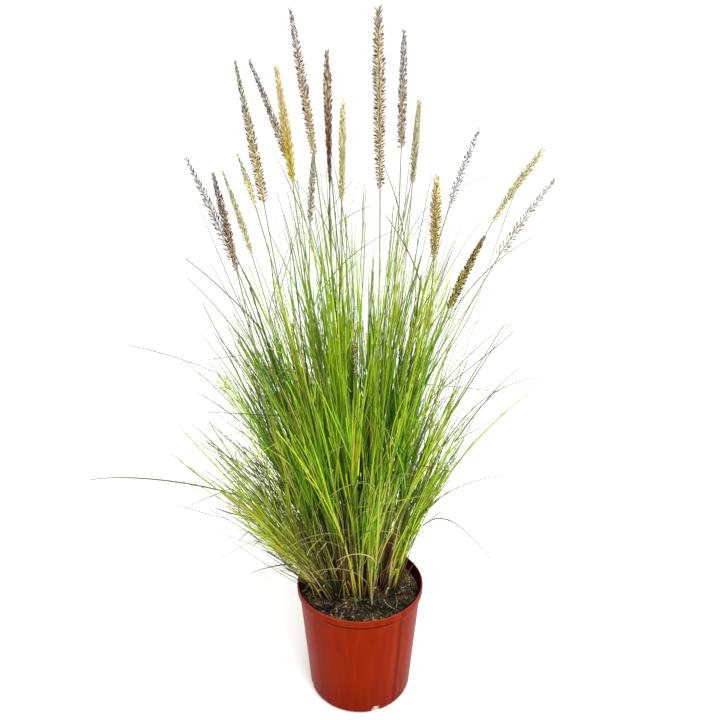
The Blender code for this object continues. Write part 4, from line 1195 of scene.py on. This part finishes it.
def spread_from(axis, share, azimuth, angle):
    """Places on an axis, the directions out of it, and turns that lean +Z off the axis that way."""
    spots = share * (len(axis) - 1)
    first = np.minimum(spots.astype(int), len(axis) - 2)
    t = (spots - first)[:, None]
    starts = axis[first] * (1 - t) + axis[first + 1] * t
    up = unit(np.gradient(axis, axis=0))[first]
    side = unit(np.cross(up, np.array([0.0, 1.0, 0.05])))
    other = np.cross(up, side)
    out = side * np.cos(azimuth)[:, None] + other * np.sin(azimuth)[:, None]
    z = up * np.cos(angle)[:, None] + out * np.sin(angle)[:, None]
    x = np.cross(up, out)
    y = np.cross(z, x)
    return starts, z, np.stack([x, y, z], axis=2)


def blended(foot, tip, share, greyed):
    """Colours that change over the middle of a spike from foot to tip, and grey by a share at its end."""
    mix = np.clip((share - 0.3) / 0.45, 0, 1)[:, None]
    tones = np.array(srgb(foot)) * (1 - mix) + np.array(srgb(tip)) * mix
    end = greyed * np.clip((share - 0.91) / 0.05, 0, 1)[:, None]
    return tones * (1 - end) + np.array(srgb(ENDS_GREY)) * end


for number, (kind, outline, husk_foot, husk_tip, awn_foot, awn_tip) in enumerate(SPIKE_LOOKS, 1):
    rng = np.random.default_rng(900 + number)
    name = "flower_spike_%02d" % number
    middles, radii = centreline(name, SPIKE_SIDES)
    axis = smoothed(middles, AXIS_POINTS)
    length = np.linalg.norm(np.diff(axis, axis=0), axis=1).sum()
    girth = radii.max() * FULLNESS
    top = 1 - np.interp(outline[3], (0.25, 0.75), TIP_INSETS) / length
    per_10_mm, foot_flare, tip_flare, husk_width, awn_width, awn_start, hairs = SPIKE_KINDS[kind]
    flares = (foot_flare, tip_flare, tip_flare * 0.5)
    greyed = 0.0 if kind in ("dense", "young") else 0.7
    batches = []
    for width, pattern, tones_at, begin, end in (
            (husk_width, seed, (husk_foot, husk_tip), 0.06, 0.72),
            (awn_width, awn, (awn_foot, awn_tip), awn_start, 1.0)):
        order = np.arange(int(length * 100 * per_10_mm))
        share = np.clip((order + rng.normal(0, 1.2, len(order))) / len(order), 0.0, 0.995)
        order = order[rng.uniform(size=len(order)) < np.interp(share, (0, 0.08, 0.92, 1), (0.4, 1, 1, 0.5))]
        share, count = share[order], len(order)
        azimuth = np.radians(GOLDEN_ANGLE) * order + rng.normal(0, 0.3, count)
        radius = girth * np.interp(share, OUTLINE_SHARES, outline)
        angle = np.radians(np.interp(share, FLARE_SHARES, flares) * rng.uniform(0.85, 1.15, count))
        reach = np.minimum(radius / np.sin(angle), LONGEST_SPIKELET) * rng.uniform(0.85, 1.10, count)
        starts, lie, turned = spread_from(axis, share * top, azimuth, angle)
        half = np.minimum(width / 2000, reach * 0.25) * rng.uniform(0.85, 1.15, count)
        placed, polygons = scattered(pattern, starts + lie * (reach * begin)[:, None],
                                     np.column_stack([half, half, reach * (end - begin)]), turned)
        tones = blended(*tones_at, share, greyed) * rng.uniform(0.75, 1.25, (count, 1))
        batches.append((placed, polygons, tones[:, None]))

    count = int(length * 1000 * hairs)
    share = rng.uniform(0, 1, count)
    radius = girth * np.interp(share, OUTLINE_SHARES, outline)
    angle = np.radians(np.interp(share, FLARE_SHARES, flares) * rng.uniform(0.5, 1.4, count))
    starts, lie, turned = spread_from(axis, share * top, rng.uniform(0, math.tau, count), angle)
    reach = np.minimum(radius * rng.uniform(0.9, 1.4, count) / np.sin(angle), LONGEST_BRISTLE)
    thick = rng.uniform(*BRISTLE_RADII, count)
    placed, polygons = scattered(bristle, starts, np.column_stack([thick, thick, reach]), turned)
    tones = blended(husk_foot, husk_tip, share, greyed) * rng.uniform(0.7, 1.2, (count, 1))
    batches.append((placed, polygons, tones[:, None]))

    core = smoothed(middles, RACHIS_RINGS)[None]
    core = middles[:1] + (core - middles[:1]) * top
    widths = np.linspace(*RACHIS_WIDTHS, RACHIS_RINGS)[None]
    placed, polygons = laid(rachis, core, rolled(core, 0.0), widths, widths)
    batches.append((placed, polygons, np.array(srgb(husk_foot)) * 0.6))
    spike = joined("brush_" + name, batches, husk)
    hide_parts(name)
    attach(spike, "root")


# ---- The studio --------------------------------------------------------------------------------
# A white floor, even white light from all round with one large soft key from the upper right, and
# the camera at the photograph's angle: a 35 mm lens, 1.23 m in front and 1.17 m up, 19.4 degrees down.

SENSOR_WIDTH = 36
bpy.ops.mesh.primitive_plane_add(size=30, location=(0, 0, -0.0004))
floor = bpy.context.object
floor.name = "studio_floor"
paper, tree, shader = new_material("White studio floor", 0.9, 1.45)
place = add_node(tree, "ShaderNodeTexCoord", output="Object")
mottle = add_node(tree, "ShaderNodeTexNoise", {"Vector": place, "Scale": 2.0})
colour = add_node(tree, "ShaderNodeMix", {0: mottle, 6: "#F7F7F5", 7: "#FBFBFA"}, data_type="RGBA")
tree.links.new(colour, shader.inputs["Base Color"])
floor.data.materials.append(paper)

# The room behind the camera is a little darker than the white paper all round the plant.
world = bpy.data.worlds.new("White studio")
bpy.context.scene.world = world
world.use_nodes = True
tree = world.node_tree
direction = add_node(tree, "ShaderNodeTexCoord", output="Generated")
to_back = add_node(tree, "ShaderNodeSeparateXYZ", {0: direction}, output="Y")
room = add_node(tree, "ShaderNodeMapRange", {"Value": to_back, "From Min": -0.95, "From Max": -0.15,
                                             "To Min": 0.62, "To Max": 1.27})
background = tree.nodes["Background"]
background.inputs["Color"].default_value = (1.0, 1.0, 1.0, 1.0)
tree.links.new(room, background.inputs["Strength"])


def softbox(name, location, target, size, power):
    """A square area light that points at a place."""
    bpy.ops.object.light_add(type="AREA", location=location)
    lamp = bpy.context.object
    lamp.name = name
    lamp.data.size = size
    lamp.data.energy = power
    lamp.rotation_euler = (Vector(target) - Vector(location)).to_track_quat("-Z", "Y").to_euler()


softbox("key_softbox", (1.0, -2.1, 3.2), (0, 0, 0.5), 2.2, 140)

bpy.ops.object.camera_add(location=tuple(CAMERA_PLACE), rotation=(math.radians(90 - CAMERA_PITCH), 0, 0))
camera = bpy.context.object
camera.data.sensor_width = SENSOR_WIDTH
camera.data.lens = SENSOR_WIDTH * FOCAL_PIXELS / PICTURE_WIDTH
camera.data.clip_start = 0.01
bpy.context.scene.camera = camera
bpy.context.scene.view_settings.view_transform = "Standard"
